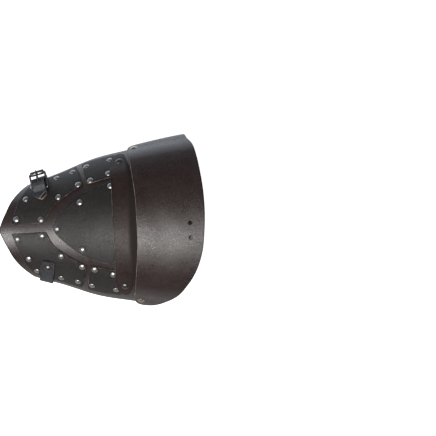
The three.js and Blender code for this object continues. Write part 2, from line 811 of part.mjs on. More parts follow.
// Leather tab folded round the chape bar, cut to a point, with a slot for the prong's eye
function buckleChape() {
  const out = beforeBar(barAround, chapeOuter).sub(beforeBar(barAround, 0)).normalize();
  const down = new THREE.Vector2(out.y, -out.x);
  const tailSteps = 3;
  const tail = (distance, until) => Array.from({ length: tailSteps + 1 }, (_, k) => (
    beforeBar(THREE.MathUtils.lerp(chapeEndAround, until, k / tailSteps), distance)
  ));
  const ring = (radius, angle) => new THREE.Vector2()
    .addScaledVector(out, radius * Math.cos(angle))
    .addScaledVector(down, radius * Math.sin(angle));
  const arcSteps = 6;
  const arc = Array.from({ length: arcSteps + 1 }, (_, k) => ring(loopOuter, Math.PI * k / arcSteps));
  const eyeSteps = 12;
  const eye = Array.from({ length: eyeSteps }, (_, k) => ring(loopInner, -2 * Math.PI * k / eyeSteps));
  const shape = new THREE.Shape([
    ...tail(chapeOuter, barAround - chapeFoldOver), ...arc,
    ...tail(chapeInner, barAround - chapeFoldUnder).reverse(),
  ]);
  shape.holes.push(new THREE.Path(eye));
  const geometry = new THREE.ExtrudeGeometry(shape, { depth: chapeWidth, bevelEnabled: false, curveSegments: 1 });
  geometry.translate(0, 0, -chapeWidth / 2).applyMatrix4(profileAxes);
  geometry.translate(barCentre.x, barCentre.y, barCentre.z);
  const eyeRoom = 2 * (loopInner + prongEyeWall + barClearance);
  const slot = new THREE.BoxGeometry(prongWidth + 2 * barClearance, eyeRoom, eyeRoom);
  const end = beforeBar(chapeEndAround, chapeOuter);
  const cutters = [-1, 1].map((side) => {
    const wedge = new THREE.BoxGeometry(chapeWidth, 3 * chapePointLength, 10 * chapeThickness);
    wedge.translate(side * chapeWidth / 2, -1.5 * chapePointLength, 0);
    wedge.rotateZ(-side * Math.atan2(chapePointLength, chapeWidth / 2));
    return wedge.translate(0, end.x, end.y);
  });
  cutters.push(slot);
  cutters.forEach((cutter) => {
    cutter.applyMatrix4(buckleAxes).translate(barCentre.x, barCentre.y, barCentre.z);
  });
  return cutAway(geometry, [...cutters, holeCutter(chapePlace, rivetHole)]);
}

// Flat frame with round corners: the chape bar on one side, the roller bar on the other
function buckleFrame() {
  const rounded = (path, halfWidth, low, high, radius) => {
    path.moveTo(halfWidth, low + radius);
    path.lineTo(halfWidth, high - radius);
    path.absarc(halfWidth - radius, high - radius, radius, 0, Math.PI / 2);
    path.lineTo(-halfWidth + radius, high);
    path.absarc(-halfWidth + radius, high - radius, radius, Math.PI / 2, Math.PI);
    path.lineTo(-halfWidth, low + radius);
    path.absarc(-halfWidth + radius, low + radius, radius, Math.PI, 1.5 * Math.PI);
    path.lineTo(halfWidth - radius, low);
    path.absarc(halfWidth - radius, low + radius, radius, 1.5 * Math.PI, 2 * Math.PI);
    return path;
  };
  const half = barWidth / 2;
  const shape = rounded(new THREE.Shape(), frameWidth / 2, -half, barSpan + half, frameCornerRadius);
  const window = new THREE.Path();
  rounded(window, frameWidth / 2 - wireWidth, half, barSpan - half, frameCornerRadius - wireWidth);
  shape.holes.push(window);
  const geometry = new THREE.ExtrudeGeometry(shape, {
    depth: frameThickness, bevelEnabled: false, curveSegments: frameCornerSteps,
  });
  return geometry.translate(0, 0, -frameThickness / 2);
}

// Loose tube on the outer bar
function buckleRoller() {
  const half = frameWidth / 2 - wireWidth - rollerEndGap;
  const corners = [
    [loopInner, -half], [rollerRadius, -half], [rollerRadius, half], [loopInner, half], [loopInner, -half],
  ];
  const geometry = new THREE.LatheGeometry(corners.map(([r, h]) => new THREE.Vector2(r, h)), 12);
  return geometry.rotateZ(Math.PI / 2).translate(0, barSpan, 0);
}

// Prong with an eye round the chape bar and its end resting on the roller
function buckleProng() {
  const eyeOuter = loopInner + prongEyeWall;
  const low = rollerRadius + prongRest;
  const top = low + prongThickness;
  const shape = new THREE.Shape();
  shape.absarc(0, 0, eyeOuter, Math.PI / 2, 2 * Math.PI + Math.PI / 6);
  shape.lineTo(barSpan * 0.36, low);
  shape.lineTo(barSpan + prongReach - prongTipBevel, low);
  shape.lineTo(barSpan + prongReach, low + prongThickness * 0.4);
  shape.lineTo(barSpan + prongReach - prongTipBevel, top - prongThickness * 0.2);
  shape.lineTo(barSpan * 0.45, top);
  const eye = new THREE.Path();
  eye.absarc(0, 0, loopInner, 0, 2 * Math.PI, true);
  shape.holes.push(eye);
  const geometry = new THREE.ExtrudeGeometry(shape, {
    depth: prongWidth, bevelEnabled: false, curveSegments: 12,
  });
  const upright = new THREE.Matrix4().makeBasis(
    new THREE.Vector3(0, 1, 0), new THREE.Vector3(0, 0, 1), new THREE.Vector3(1, 0, 0),
  );
  return geometry.applyMatrix4(upright).translate(-prongWidth / 2, 0, 0);
}

addMesh('base_plate', basePlate(), browns);
addMesh('centre_plate', centrePlate(), blacks);
sides.forEach(({ label, sign }) => {
  addMesh(`outer_plate_${label}`, outerPlate(label, sign), blacks);
  addMesh(`inner_plate_${label}`, innerPlate(label, sign), blacks);
});
addMesh('band', shoulderBand(), browns);
addMesh('neck_plate', neckPlate(), browns);
addMesh('arm_strap', armStrap(), blacks);
addMesh('buckle_chape', buckleChape(), blacks);

[['buckle_frame', buckleFrame()], ['buckle_roller', buckleRoller()], ['buckle_prong', buckleProng()]]
  .forEach(([name, geometry]) => {
    const mesh = addMesh(name, geometry, nickel);
    mesh.position.copy(barCentre);
    mesh.quaternion.setFromRotationMatrix(buckleAxes);
  });

// Small rivets, numbered along each plate
const smallGrip = overlayOuter + rivetSeat + burrSeat;
const smallRivet = rivetGeometry(rivetHeadDiameter, rivetHeadHeight, rivetShankDiameter, smallGrip, burrDiameter);
sides.forEach(({ label }) => {
  outerPlaces.get(label).forEach((place, index) => {
    addRivet(`outer_rivet_${label}_${index + 1}`, smallRivet, place, nickel);
  });
  innerPlaces.get(label).forEach((place, index) => {
    addRivet(`inner_rivet_${label}_${index + 1}`, smallRivet, place, nickel);
  });
});
centrePlaces.forEach((place, index) => addRivet(`centre_rivet_${index + 1}`, smallRivet, place, nickel));

// Rivets of the strap's tab and of the chape
const snapGrip = snapPlace.level + rivetSeat + burrSeat;
addRivet('tab_snap', rivetGeometry(
  snapHeadDiameter, snapHeadHeight, rivetShankDiameter, snapGrip, burrDiameter,
), snapPlace, nickel);
const chapeGrip = chapePlace.level + rivetSeat + burrSeat;
addRivet('chape_rivet', rivetGeometry(
  chapeRivetHeadDiameter, chapeRivetHeadHeight, rivetShankDiameter, chapeGrip, burrDiameter,
), chapePlace, nickel);

// Pivot rivets, each with a collar that fills the room between its moving plate and the base
function pivotRivet(place, thickness) {
  const grip = place.level + rivetSeat + pivotBurrSeat;
  const collar = {
    diameter: spacerDiameter,
    top: -(rivetSeat + thickness + spacerClearance),
    bottom: -(place.level + rivetSeat - baseThickness - spacerSeat),
  };
  return rivetGeometry(pivotHeadDiameter, pivotHeadHeight, pivotShankDiameter, grip, pivotBurrDiameter, collar);
}
sides.forEach(({ label }, index) => {
  const bandPlace = bandPivotPlaces[index];
  const neckPlace = neckPivotPlaces[index];
  addRivet(`band_pivot_${label}`, pivotRivet(bandPlace, bandThickness), bandPlace, warmNickel);
  addRivet(`neck_pivot_${label}`, pivotRivet(neckPlace, neckThickness), neckPlace, warmNickel);
});

// The origin is under the middle of the whole piece, on the surface that it lies on
const reach = new THREE.Box3().setFromObject(pauldron, true);
const middle = reach.getCenter(new THREE.Vector3());
pauldron.position.set(-middle.x, -middle.y, -reach.min.z);

export default pauldron;
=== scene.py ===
import bpy
import numpy as np
from mathutils import Matrix


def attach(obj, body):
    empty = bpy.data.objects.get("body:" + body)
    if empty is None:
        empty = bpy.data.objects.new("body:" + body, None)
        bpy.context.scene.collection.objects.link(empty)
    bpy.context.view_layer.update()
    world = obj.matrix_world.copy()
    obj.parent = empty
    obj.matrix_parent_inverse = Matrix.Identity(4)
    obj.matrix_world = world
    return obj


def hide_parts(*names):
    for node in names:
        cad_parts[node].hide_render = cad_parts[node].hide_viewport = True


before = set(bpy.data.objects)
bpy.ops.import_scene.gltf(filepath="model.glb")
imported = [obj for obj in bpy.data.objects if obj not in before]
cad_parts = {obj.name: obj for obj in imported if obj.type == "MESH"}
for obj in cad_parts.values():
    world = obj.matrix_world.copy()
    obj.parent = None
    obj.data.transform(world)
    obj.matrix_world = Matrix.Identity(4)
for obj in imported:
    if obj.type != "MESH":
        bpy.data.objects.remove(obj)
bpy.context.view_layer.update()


# The worktop: a bare white board that glows as painted light, seen from almost straight above
# through a long lens. One wide soft ceiling light hangs in front of it to the left, and the room is dim.
scene = bpy.context.scene
scene.view_settings.view_transform = "Standard"
worktop_size, worktop_level = 6.0, -0.0002
view_width = 0.610
view_centre = np.array([0.1617, -0.0006, 0.0])
camera_distance = 9.0
camera_height_angle = 87.0
camera_roll = 2.9
board_glow = 1.2
# ellipse of the painted shade sheet that lies under the piece
shade_sheet_middle, shade_sheet_half_length, shade_sheet_half_width = 0.035, 0.107, 0.09
lamp_place, lamp_aim = np.array([-0.48, -0.50, 1.45]), np.array([0.0, 0.0, 0.05])
lamp_width, lamp_depth, lamp_watts = 1.3, 0.7, 28


def add_node(tree, kind, feeds=(), **settings):
    """Node of a kind with its settings, its inputs taking a value or a link."""
    node = tree.nodes.new(kind)
    for label, value in settings.items():
        setattr(node, label, value)
    for label, value in dict(feeds).items():
        if isinstance(value, bpy.types.NodeSocket):
            tree.links.new(value, node.inputs[label])
        else:
            node.inputs[label].default_value = value
    return node


def sum_up(tree, operation, first, second=0.0, third=0.0):
    """Result of one arithmetic step."""
    return add_node(tree, "ShaderNodeMath", {0: first, 1: second, 2: third}, operation=operation).outputs[0]


def blend_colour(tree, share, first, second, kind="MIX"):
    """Two colours blended by a share."""
    return add_node(tree, "ShaderNodeMix", {0: share, 6: first, 7: second},
                    data_type="RGBA", blend_type=kind).outputs[2]


def between(tree, value, low, high, first=0.0, last=1.0):
    """Soft step of a value between two limits."""
    return add_node(tree, "ShaderNodeMapRange", {0: value, 1: low, 2: high, 3: first, 4: last},
                    interpolation_type="SMOOTHSTEP").outputs[0]


def grey(tree, value):
    """Grey colour of a value."""
    return add_node(tree, "ShaderNodeCombineColor", {0: value, 1: value, 2: value}).outputs[0]


def object_spot(tree):
    """Place on the object."""
    return add_node(tree, "ShaderNodeTexCoord").outputs["Object"]


def new_material(name, values):
    """Material whose surface takes some values, with its tree and that surface."""
    material = bpy.data.materials.new(name)
    material.use_nodes = True
    tree = material.node_tree
    shader = tree.nodes["Principled BSDF"]
    for label, value in values.items():
        shader.inputs[label].default_value = value
    return material, tree, shader


def glowing_board():
    """White board that glows though it is no lamp: painted light. The camera sees it at full glow,
    exposed so that it burns out to plain white with no shadow on it, while the leather mirrors and
    is lit by a weaker painted glow, bluish at the back as a painted reflection, and brighter at the
    back and on the side away from the lamp. A black sheet of painted shade lies under the piece, an
    ellipse inside its outline, and keeps the hollow dark; seen at a slant it turns to a grey painted
    shadow."""
    material, tree, shader = new_material(
        "white_board", {"Emission Strength": board_glow, "Roughness": 0.7})
    place = add_node(tree, "ShaderNodeSeparateXYZ", {0: object_spot(tree)})
    seen = add_node(tree, "ShaderNodeLightPath").outputs["Is Camera Ray"]
    back = between(tree, place.outputs["Y"], -0.06, 0.07)
    # painted reflection: the back of the board is bluish only in what the leather mirrors, not to the
    # camera
    cool_in_reflection = sum_up(tree, "MULTIPLY", back, sum_up(tree, "SUBTRACT", 1.0, seen))
    white = blend_colour(tree, cool_in_reflection, (0.87, 0.865, 0.86, 1), (0.74, 0.81, 0.90, 1))
    # ellipse of painted shade under the piece, inside its outline
    along = sum_up(tree, "SUBTRACT", place.outputs["X"], shade_sheet_middle)
    along = sum_up(tree, "DIVIDE", along, shade_sheet_half_length)
    across = sum_up(tree, "DIVIDE", place.outputs["Y"], shade_sheet_half_width)
    reach = sum_up(tree, "MULTIPLY_ADD", along, along, sum_up(tree, "MULTIPLY", across, across))
    # painted shade: black under the piece, and a grey painted shadow where the camera sees it from low down
    slant = add_node(tree, "ShaderNodeLayerWeight", {"Blend": 0.5}).outputs["Facing"]
    low_view_shadow = sum_up(tree, "MULTIPLY", seen, between(tree, slant, 0.03, 0.3))
    shade_sheet = blend_colour(tree, low_view_shadow, (0.01, 0.01, 0.01, 1), (0.24, 0.243, 0.246, 1))
    board = blend_colour(tree, between(tree, reach, 0.7, 1.0), shade_sheet, white)
    # painted glow that the leather mirrors and is lit by, brighter at the back and on the side away from
    # the lamp
    mirrored_glow = sum_up(tree, "MAXIMUM", between(tree, place.outputs["X"], 0.12, 0.16, 0.0, 0.8),
                           between(tree, back, 0.0, 1.0, 0.02, 0.6))
    # the camera sees the board at full glow, which paints out any shadow on it
    strength = sum_up(tree, "MAXIMUM", seen, mirrored_glow)
    # the board sheds only half its colour as light onto the leather, while the camera sees it whole
    dimmed = blend_colour(tree, 1.0, board, (0.5, 0.5, 0.5, 1), "MULTIPLY")
    tree.links.new(blend_colour(tree, seen, dimmed, board), shader.inputs["Base Color"])
    tree.links.new(blend_colour(tree, 1.0, board, grey(tree, strength), "MULTIPLY"),
                   shader.inputs["Emission Color"])
    return material


def unit(vectors):
    """Vectors brought to length 1."""
    return vectors / np.linalg.norm(vectors, axis=-1, keepdims=True)


def axes_matrix(right, up, back, place):
    """Matrix whose columns are three axes and a place."""
    columns = np.eye(4)
    columns[:3, 0], columns[:3, 1], columns[:3, 2], columns[:3, 3] = right, up, back, place
    return Matrix(columns.tolist())


height_angle, roll = np.radians([camera_height_angle, camera_roll])
level = np.array([1.0, 0.0, 0.0])
rise = np.array([0.0, np.sin(height_angle), np.cos(height_angle)])
camera_right = np.cos(roll) * level - np.sin(roll) * rise
camera_up = np.sin(roll) * level + np.cos(roll) * rise
camera_back = np.cross(camera_right, camera_up)
camera = bpy.data.objects.new("camera", bpy.data.cameras.new("camera"))
camera.data.lens = camera.data.sensor_width * camera_distance / view_width
camera.data.clip_end = 50
camera.matrix_world = axes_matrix(
    camera_right, camera_up, camera_back, view_centre + camera_distance * camera_back)
scene.collection.objects.link(camera)
scene.camera = camera

worktop = bpy.data.objects.new("worktop", bpy.data.meshes.new("worktop"))
board_corners = np.array([(-1, -1), (1, -1), (1, 1), (-1, 1)]) * worktop_size / 2
worktop.data.from_pydata(
    np.column_stack([board_corners, np.full(4, worktop_level)]).tolist(), [], [(0, 1, 2, 3)])
worktop.data.materials.append(glowing_board())
scene.collection.objects.link(worktop)

lamp = bpy.data.objects.new("ceiling_light", bpy.data.lights.new("ceiling_light", "AREA"))
lamp.data.shape = "RECTANGLE"
lamp.data.size = lamp_width
lamp.data.size_y = lamp_depth
lamp.data.energy = lamp_watts
lamp.data.color = (1.0, 0.985, 0.96)
away = unit(lamp_place - lamp_aim)
side = unit(np.cross([0.0, 1.0, 0.0], away))
lamp.matrix_world = axes_matrix(side, np.cross(away, side), away, lamp_place)
scene.collection.objects.link(lamp)

world = bpy.data.worlds.new("dim_room")
world.use_nodes = True
world.node_tree.nodes["Background"].inputs["Color"].default_value = (0.8, 0.88, 1.0, 1)
world.node_tree.nodes["Background"].inputs["Strength"].default_value = 0.14
scene.world = world


# Base plate: one piece of dark reddish-brown veg-tanned leather, cut flat, wetted and bent
# over a form. All the other plates are laid on it and bent over the same form.
form_start = -143.6
form_length = 287.7
form_half_width = 121.0
form_height = 94.0
form_shift = np.array([-0.194, -4.935, 0.0])
form_sections = np.array([
    # along, half width, height
    (0.0, 0.413, 0.457),
    (0.141, 0.507, 0.564),
    (0.291, 0.62, 0.702),
    (0.465, 0.769, 0.862),
    (0.638, 0.855, 0.947),
    (0.812, 0.934, 0.979),
    (1.0, 1.0, 1.0),
])
base_thickness = 2.6
overlay_thickness = 2.2
sheet_gap = 0.5
edge_round = 0.55
cell_size = 1.9
rivet_dimple, dimple_reach = 0.4, 5.6
far_away = 50.0
base_start, base_length = -143.6, 199.0
base_leaf_end = np.array([
    (0.0, 0.0), (0.01, 0.07), (0.033, 0.2), (0.056, 0.31),
    (0.084, 0.45), (0.14, 0.65), (0.194, 0.82), (0.232, 0.964),
])
base_hem = np.array([(0.232, 0.964), (1.0, 1.0)])
base_neck_end = np.array([(1.0, 1.0), (0.985, 0.8), (0.96, 0.5), (0.948, 0.0)])


def running_length(points):
    """Length along a line of points up to each of them."""
    return np.concatenate([[0], np.cumsum(np.linalg.norm(np.diff(points, axis=0), axis=1))])


def cubic(t, span, low, high, low_slope, high_slope):
    """Cubic between two values with their slopes, t running from 0 to 1 over a span."""
    return ((1 + 2 * t) * (1 - t) ** 2 * low + t * (1 - t) ** 2 * span * low_slope
            + t * t * (3 - 2 * t) * high + t * t * (t - 1) * span * high_slope)


def smooth_rows(rows, count):
    """Smooth curve through rows of any number of columns, sampled at even steps: cubic between
    rows by chord length, its slope at a row taken from the rows on both sides."""
    rows = np.asarray(rows, float)
    chord = running_length(rows)
    step = np.gradient(rows, chord, axis=0)

    def at(u):
        low = np.clip(np.searchsorted(chord, u, side="right") - 1, 0, len(chord) - 2)
        span = (chord[low + 1] - chord[low])[:, None]
        t = (u - chord[low])[:, None] / span
        return cubic(t, span, rows[low], rows[low + 1], step[low], step[low + 1])

    fine = at(np.linspace(0, chord[-1], 40 * len(rows)))
    run = running_length(fine)
    return at(np.interp(np.linspace(0, run[-1], count), run, np.linspace(0, chord[-1], len(run))))


def form_value(x, column):
    """A column of the form's table at x: cubic between rows, slopes from the rows on both sides."""
    along, value = form_sections[:, 0], form_sections[:, column]
    slope = np.empty_like(value)
    slope[1:-1] = (value[2:] - value[:-2]) / (along[2:] - along[:-2])
    slope[0] = (value[1] - value[0]) / (along[1] - along[0])
    slope[-1] = (value[-1] - value[-2]) / (along[-1] - along[-2])
    share = np.clip((x - form_start) / form_length, 0, 1)
    row = np.clip(np.searchsorted(along, share, side="right") - 1, 0, len(along) - 2)
    span = along[row + 1] - along[row]
    t = (share - along[row]) / span
    return cubic(t, span, value[row], value[row + 1], slope[row], slope[row + 1])


def raw_form(x, around, distance):
    """Point in millimetres straight out from a half-ellipse section, around from crown 0 to floor 1."""
    angle = around * np.pi / 2
    width = form_half_width * form_value(x, 1)
    height = form_height * form_value(x, 2)
    out = np.stack([np.sin(angle) / width, np.cos(angle) / height])
    out = out / np.linalg.norm(out, axis=0)
    return np.stack([
        x + 0 * angle,
        width * np.sin(angle) + distance * out[0],
        height * np.cos(angle) + distance * out[1],
    ], axis=-1)


def hand_bent(x, around):
    """Slow unevenness of hand-bent leather, up to half a millimetre: a sum of long waves."""
    y = form_half_width * around
    return (0.22 * np.sin(x / 19 + 1.3 + 0.5 * np.sin(y / 31)) * np.cos(y / 23 + 0.4)
            + 0.16 * np.sin(x / 11 - y / 17 + 2.1) + 0.1 * np.sin(x / 7.3 + y / 9.1)
            ) * np.clip((1 - np.abs(around)) * 6, 0, 1)


def in_frame(points):
    """Points in the form's millimetres as points of the frame in metres."""
    return (points + form_shift) / 1000


def on_form(x, around, distance):
    """Point of the frame in metres at a distance outside the form."""
    x, around, distance = np.broadcast_arrays(x, around, distance)
    return in_frame(raw_form(x, around, distance + hand_bent(x, around)))


def out_of_form(x, around):
    """Direction straight out of the form: cross product of its slopes along and around."""
    along = raw_form(x + 1, around, 0) - raw_form(x - 1, around, 0)
    across = raw_form(x, around + 0.01, 0) - raw_form(x, around - 0.01, 0)
    return unit(np.cross(along, across))


def mirrored(side):
    """The other side of an edge, from the last row back to the first."""
    return (side * [1, -1])[::-1]


def on_pattern(sides, start, length, sign=1):
    """Sides of a plate in flat millimetres, on the back slope or mirrored to the front one."""
    turned = sides if sign > 0 else [mirrored(side) for side in sides[::-1]]
    return [side * [length, form_half_width] + [start, 0] for side in turned]


def cut_outline(sides, ease, step=0.5):
    """Closed flat outline in millimetres, counter-clockwise. Each side is a smooth curve through
    its rows, and the corners are eased by a Gaussian mean of that width along the outline.
    Returns the points and where each side starts."""
    parts = []
    for rows in sides:
        parts.append(smooth_rows(rows, int(running_length(rows)[-1] / step) + 2)[:-1])
    points = np.concatenate(parts)
    reach = np.fft.fftfreq(len(points)) * 2 * np.pi * ease / step
    soft = np.fft.ifft(np.fft.fft(points, axis=0) * np.exp(-reach ** 2 / 2)[:, None], axis=0).real
    return soft, np.concatenate([[0], np.cumsum([len(part) for part in parts])[:-1]])


def inset(points, distance):
    """Closed outline moved inwards along its own normals."""
    run = unit(np.roll(points, -1, axis=0) - np.roll(points, 1, axis=0))
    return points + distance * np.stack([-run[:, 1], run[:, 0]], axis=1)


def arc_sample(points, first, last, count):
    """Points at even steps along a closed outline from one index to another."""
    span = (last - first) % len(points)
    part = np.take(points, np.arange(first, first + span + 1), axis=0, mode="wrap")
    run = running_length(part)
    at = np.linspace(0, run[-1], count)
    return np.stack([np.interp(at, run, part[:, 0]), np.interp(at, run, part[:, 1])], axis=1)


def filled(bottom, right, top, left):
    """Grid between four edges: the blend of both pairs of facing edges less the blend of the
    four corners (a Coons patch)."""
    u = np.linspace(0, 1, len(bottom))[:, None, None]
    v = np.linspace(0, 1, len(left))[None, :, None]
    rows = (1 - v) * bottom[:, None] + v * top[:, None]
    columns = (1 - u) * left[None] + u * right[None]
    corners = ((1 - u) * (1 - v) * bottom[0] + u * (1 - v) * bottom[-1]
               + (1 - u) * v * top[0] + u * v * top[-1])
    return rows + columns - corners


def block_loop(low_i, high_i, low_j, high_j, columns):
    """Grid indices round the border of a block of cells, counter-clockwise."""
    i, j = np.arange(low_i, high_i), np.arange(low_j, high_j)
    return np.concatenate([
        i * columns + low_j, high_i * columns + j,
        (i + 1)[::-1] * columns + high_j, low_i * columns + (j + 1)[::-1],
    ])


def faces_of(*corners):
    """Faces from arrays of vertex indices, one array for each corner."""
    return np.stack(corners, axis=-1).reshape(-1, len(corners))


def circle(count):
    """Angles at even steps once round."""
    return np.linspace(0, 2 * np.pi, count, endpoint=False)


def least_distance(points, targets):
    """Distance from each point to the nearest target."""
    square = (points ** 2).sum(1)[:, None] + (targets ** 2).sum(1)[None] - 2 * points @ targets.T
    return np.sqrt(np.maximum(square.min(1), 0))


def new_piece(name, points, faces, marks, materials, attributes=()):
    """Mesh object at the origin from points, arrays of faces with their material numbers, and
    named values at the points."""
    keep, number = np.unique(np.concatenate([face.ravel() for face in faces]), return_inverse=True)
    mesh = bpy.data.meshes.new(name)
    mesh.vertices.add(len(keep))
    mesh.vertices.foreach_set("co", points[keep].astype(np.float32).ravel())
    sizes = np.concatenate([np.full(len(face), face.shape[1]) for face in faces])
    mesh.loops.add(int(sizes.sum()))
    mesh.loops.foreach_set("vertex_index", number.ravel().astype(np.int32))
    mesh.polygons.add(len(sizes))
    mesh.polygons.foreach_set("loop_start", (np.cumsum(sizes) - sizes).astype(np.int32))
    mesh.polygons.foreach_set("material_index", np.concatenate(
        [np.full(len(face), mark) for face, mark in zip(faces, marks)]).astype(np.int32))
    mesh.polygons.foreach_set("use_smooth", np.ones(len(sizes), bool))
    for material in materials:
        mesh.materials.append(material)
    for label, values in attributes:
        layer = mesh.attributes.new(label, "FLOAT", "POINT")
        layer.data.foreach_set("value", values[keep].astype(np.float32))
    mesh.update(calc_edges=True)
    mesh.validate()
    piece = bpy.data.objects.new(name, mesh)
    scene.collection.objects.link(piece)
    return piece


def leather_piece(name, outline, corners, place, thickness, materials, rivets=(), holes=(),
                  cell=cell_size):
    """Cut leather: a flat grid inside the outline is placed twice, as grain side and flesh side,
    and joined by a rim whose section is a rounded edge. place turns flat u, v and height into a
    point. The grain side sinks round each rivet by a bell curve. A hole takes the place of a
    block of cells, with rings that pass from the block's border to the hole and through it."""
    face = inset(outline, edge_round)
    run = running_length(place(*face.T, 0) * 1000)
    ends = [(run[corners[(k + 1) % 4]] - run[corners[k]]) % (run[-1] + 1) for k in range(4)]
    wide = int(max(ends[0], ends[2]) / cell) + 2
    high = int(max(ends[1], ends[3]) / cell) + 2
    bottom = arc_sample(face, corners[0], corners[1], wide)
    right = arc_sample(face, corners[1], corners[2], high)
    top = arc_sample(face, corners[2], corners[3], wide)[::-1]
    left = arc_sample(face, corners[3], corners[0], high)[::-1]
    flat = filled(bottom, right, top, left).reshape(-1, 2)
    grid = np.arange(wide * high).reshape(wide, high)
    kept = np.ones((wide - 1, high - 1), bool)
    layers_flat, layers_height = [flat, flat], [np.full(len(flat), thickness), np.zeros(len(flat))]
    count = 2 * len(flat)
    faces, marks = [], []

    def join(first, second, mark):
        faces.append(faces_of(first, np.roll(first, -1), np.roll(second, -1), second))
        marks.append(mark)

    def add_loops(loops, heights):
        nonlocal count
        layers_flat.extend(loops)
        layers_height.extend(np.full(len(loop), h) for loop, h in zip(loops, heights))
        made = [count + k * len(loops[0]) + np.arange(len(loops[0])) for k in range(len(loops))]
        count += sum(len(loop) for loop in loops)
        return made

    turn = np.radians([22.5, 45, 67.5, 90])
    rise = edge_round * (1 - np.cos(turn))
    reach = edge_round * np.sin(turn)
    heights = np.concatenate([thickness - rise, rise[::-1]])
    steps = np.concatenate([reach, reach[::-1]])
    for u, v, radius, half_length in holes:
        near = np.abs(flat - [u, v]).sum(1).argmin()
        i, j = near // high, near % high
        block = max(3, int(np.ceil((radius + half_length) / cell)) + 2)
        block_v = max(3, int(np.ceil(radius / cell)) + 2)
        loop = block_loop(i - block, i + block, j - block_v, j + block_v, high)
        kept[i - block:i + block, j - block_v:j + block_v] = False
        sample = place(np.array([u, u + 1, u]), np.array([v, v, v + 1]), thickness) * 1000
        scale = np.linalg.norm(sample[1:] - sample[0], axis=1)
        way = unit((flat[loop] - [u, v]) * scale)
        c, s = np.abs(way).T

        def rim(size):
            far = np.where(
                c * size <= s * half_length, size / np.maximum(s, 1e-9),
                half_length * c + np.sqrt(np.maximum(size ** 2 - (half_length * s) ** 2, 0)))
            return [u, v] + way * far[:, None] / scale

        lip = rim(radius + edge_round)
        rings = [flat[loop] * (1 - mix) + lip * mix for mix in (0.4, 0.75, 1.0)]
        walls = [rim(radius + edge_round - step) for step in steps]
        made = add_loops(rings + walls + rings[::-1],
                         [thickness] * len(rings) + list(heights) + [0.0] * len(rings))
        chain = [loop] + made + [loop + len(flat)]
        kinds = [0] * len(rings) + [1] * (len(chain) - 1 - 2 * len(rings)) + [2] * len(rings)
        for first, second, kind in zip(chain, chain[1:], kinds):
            join(first, second, kind)

    cells = faces_of(grid[:-1, :-1], grid[1:, :-1], grid[1:, 1:], grid[:-1, 1:])[kept.ravel()]
    faces += [cells, cells[:, ::-1] + len(flat)]
    marks += [0, 2]
    border = block_loop(0, wide - 1, 0, high - 1, high)
    edge = np.concatenate([bottom[:-1], right[:-1], top[::-1][:-1], left[::-1][:-1]])
    chain = [border] + add_loops([inset(edge, -step) for step in steps], heights) + [border + len(flat)]
    for first, second in zip(chain, chain[1:]):
        join(second, first, 1)

    flat_all, height_all = np.concatenate(layers_flat), np.concatenate(layers_height)
    middle = place(*flat_all.T, thickness) * 1000
    rim_points = [place(*edge.T, thickness) * 1000]
    rim_points += [place(np.full(1, h[0]), np.full(1, h[1]), thickness) * 1000 for h in holes]
    from_edge = least_distance(middle, rim_points[0])
    for h, centre in zip(holes, rim_points[1:]):
        from_edge = np.minimum(from_edge, np.abs(least_distance(middle, centre) - h[2] - h[3]))
    from_rivet = np.full(len(middle), far_away)
    if len(rivets):
        from_rivet = least_distance(middle, place(*np.asarray(rivets, float).T, thickness) * 1000)
    sunk = rivet_dimple * np.exp(-(from_rivet / dimple_reach) ** 4) * height_all / thickness
    points = place(*flat_all.T, height_all - sunk)
    return new_piece(name, points, faces, marks, materials,
                     [("from_edge", from_edge), ("from_rivet", from_rivet)])


def new_group(name, inputs, outputs):
    """Empty node group with named inputs and their start values, and named outputs."""
    group = bpy.data.node_groups.new(name, "ShaderNodeTree")
    for label, start in inputs.items():
        kind = "NodeSocketColor" if isinstance(start, tuple) else "NodeSocketFloat"
        group.interface.new_socket(label, in_out="INPUT", socket_type=kind).default_value = start
    for label in outputs:
        kind = "NodeSocketColor" if label == "Colour" else "NodeSocketFloat"
        group.interface.new_socket(label, in_out="OUTPUT", socket_type=kind)
    return group, group.nodes.new("NodeGroupInput").outputs, group.nodes.new("NodeGroupOutput").inputs


def soft_noise(tree, spot, scale, detail):
    """Value of a noise at a place."""
    feeds = {"Vector": spot, "Scale": scale, "Detail": detail}
    return add_node(tree, "ShaderNodeTexNoise", feeds).outputs[0]


skin_outputs = ("Colour", "Roughness", "Height")


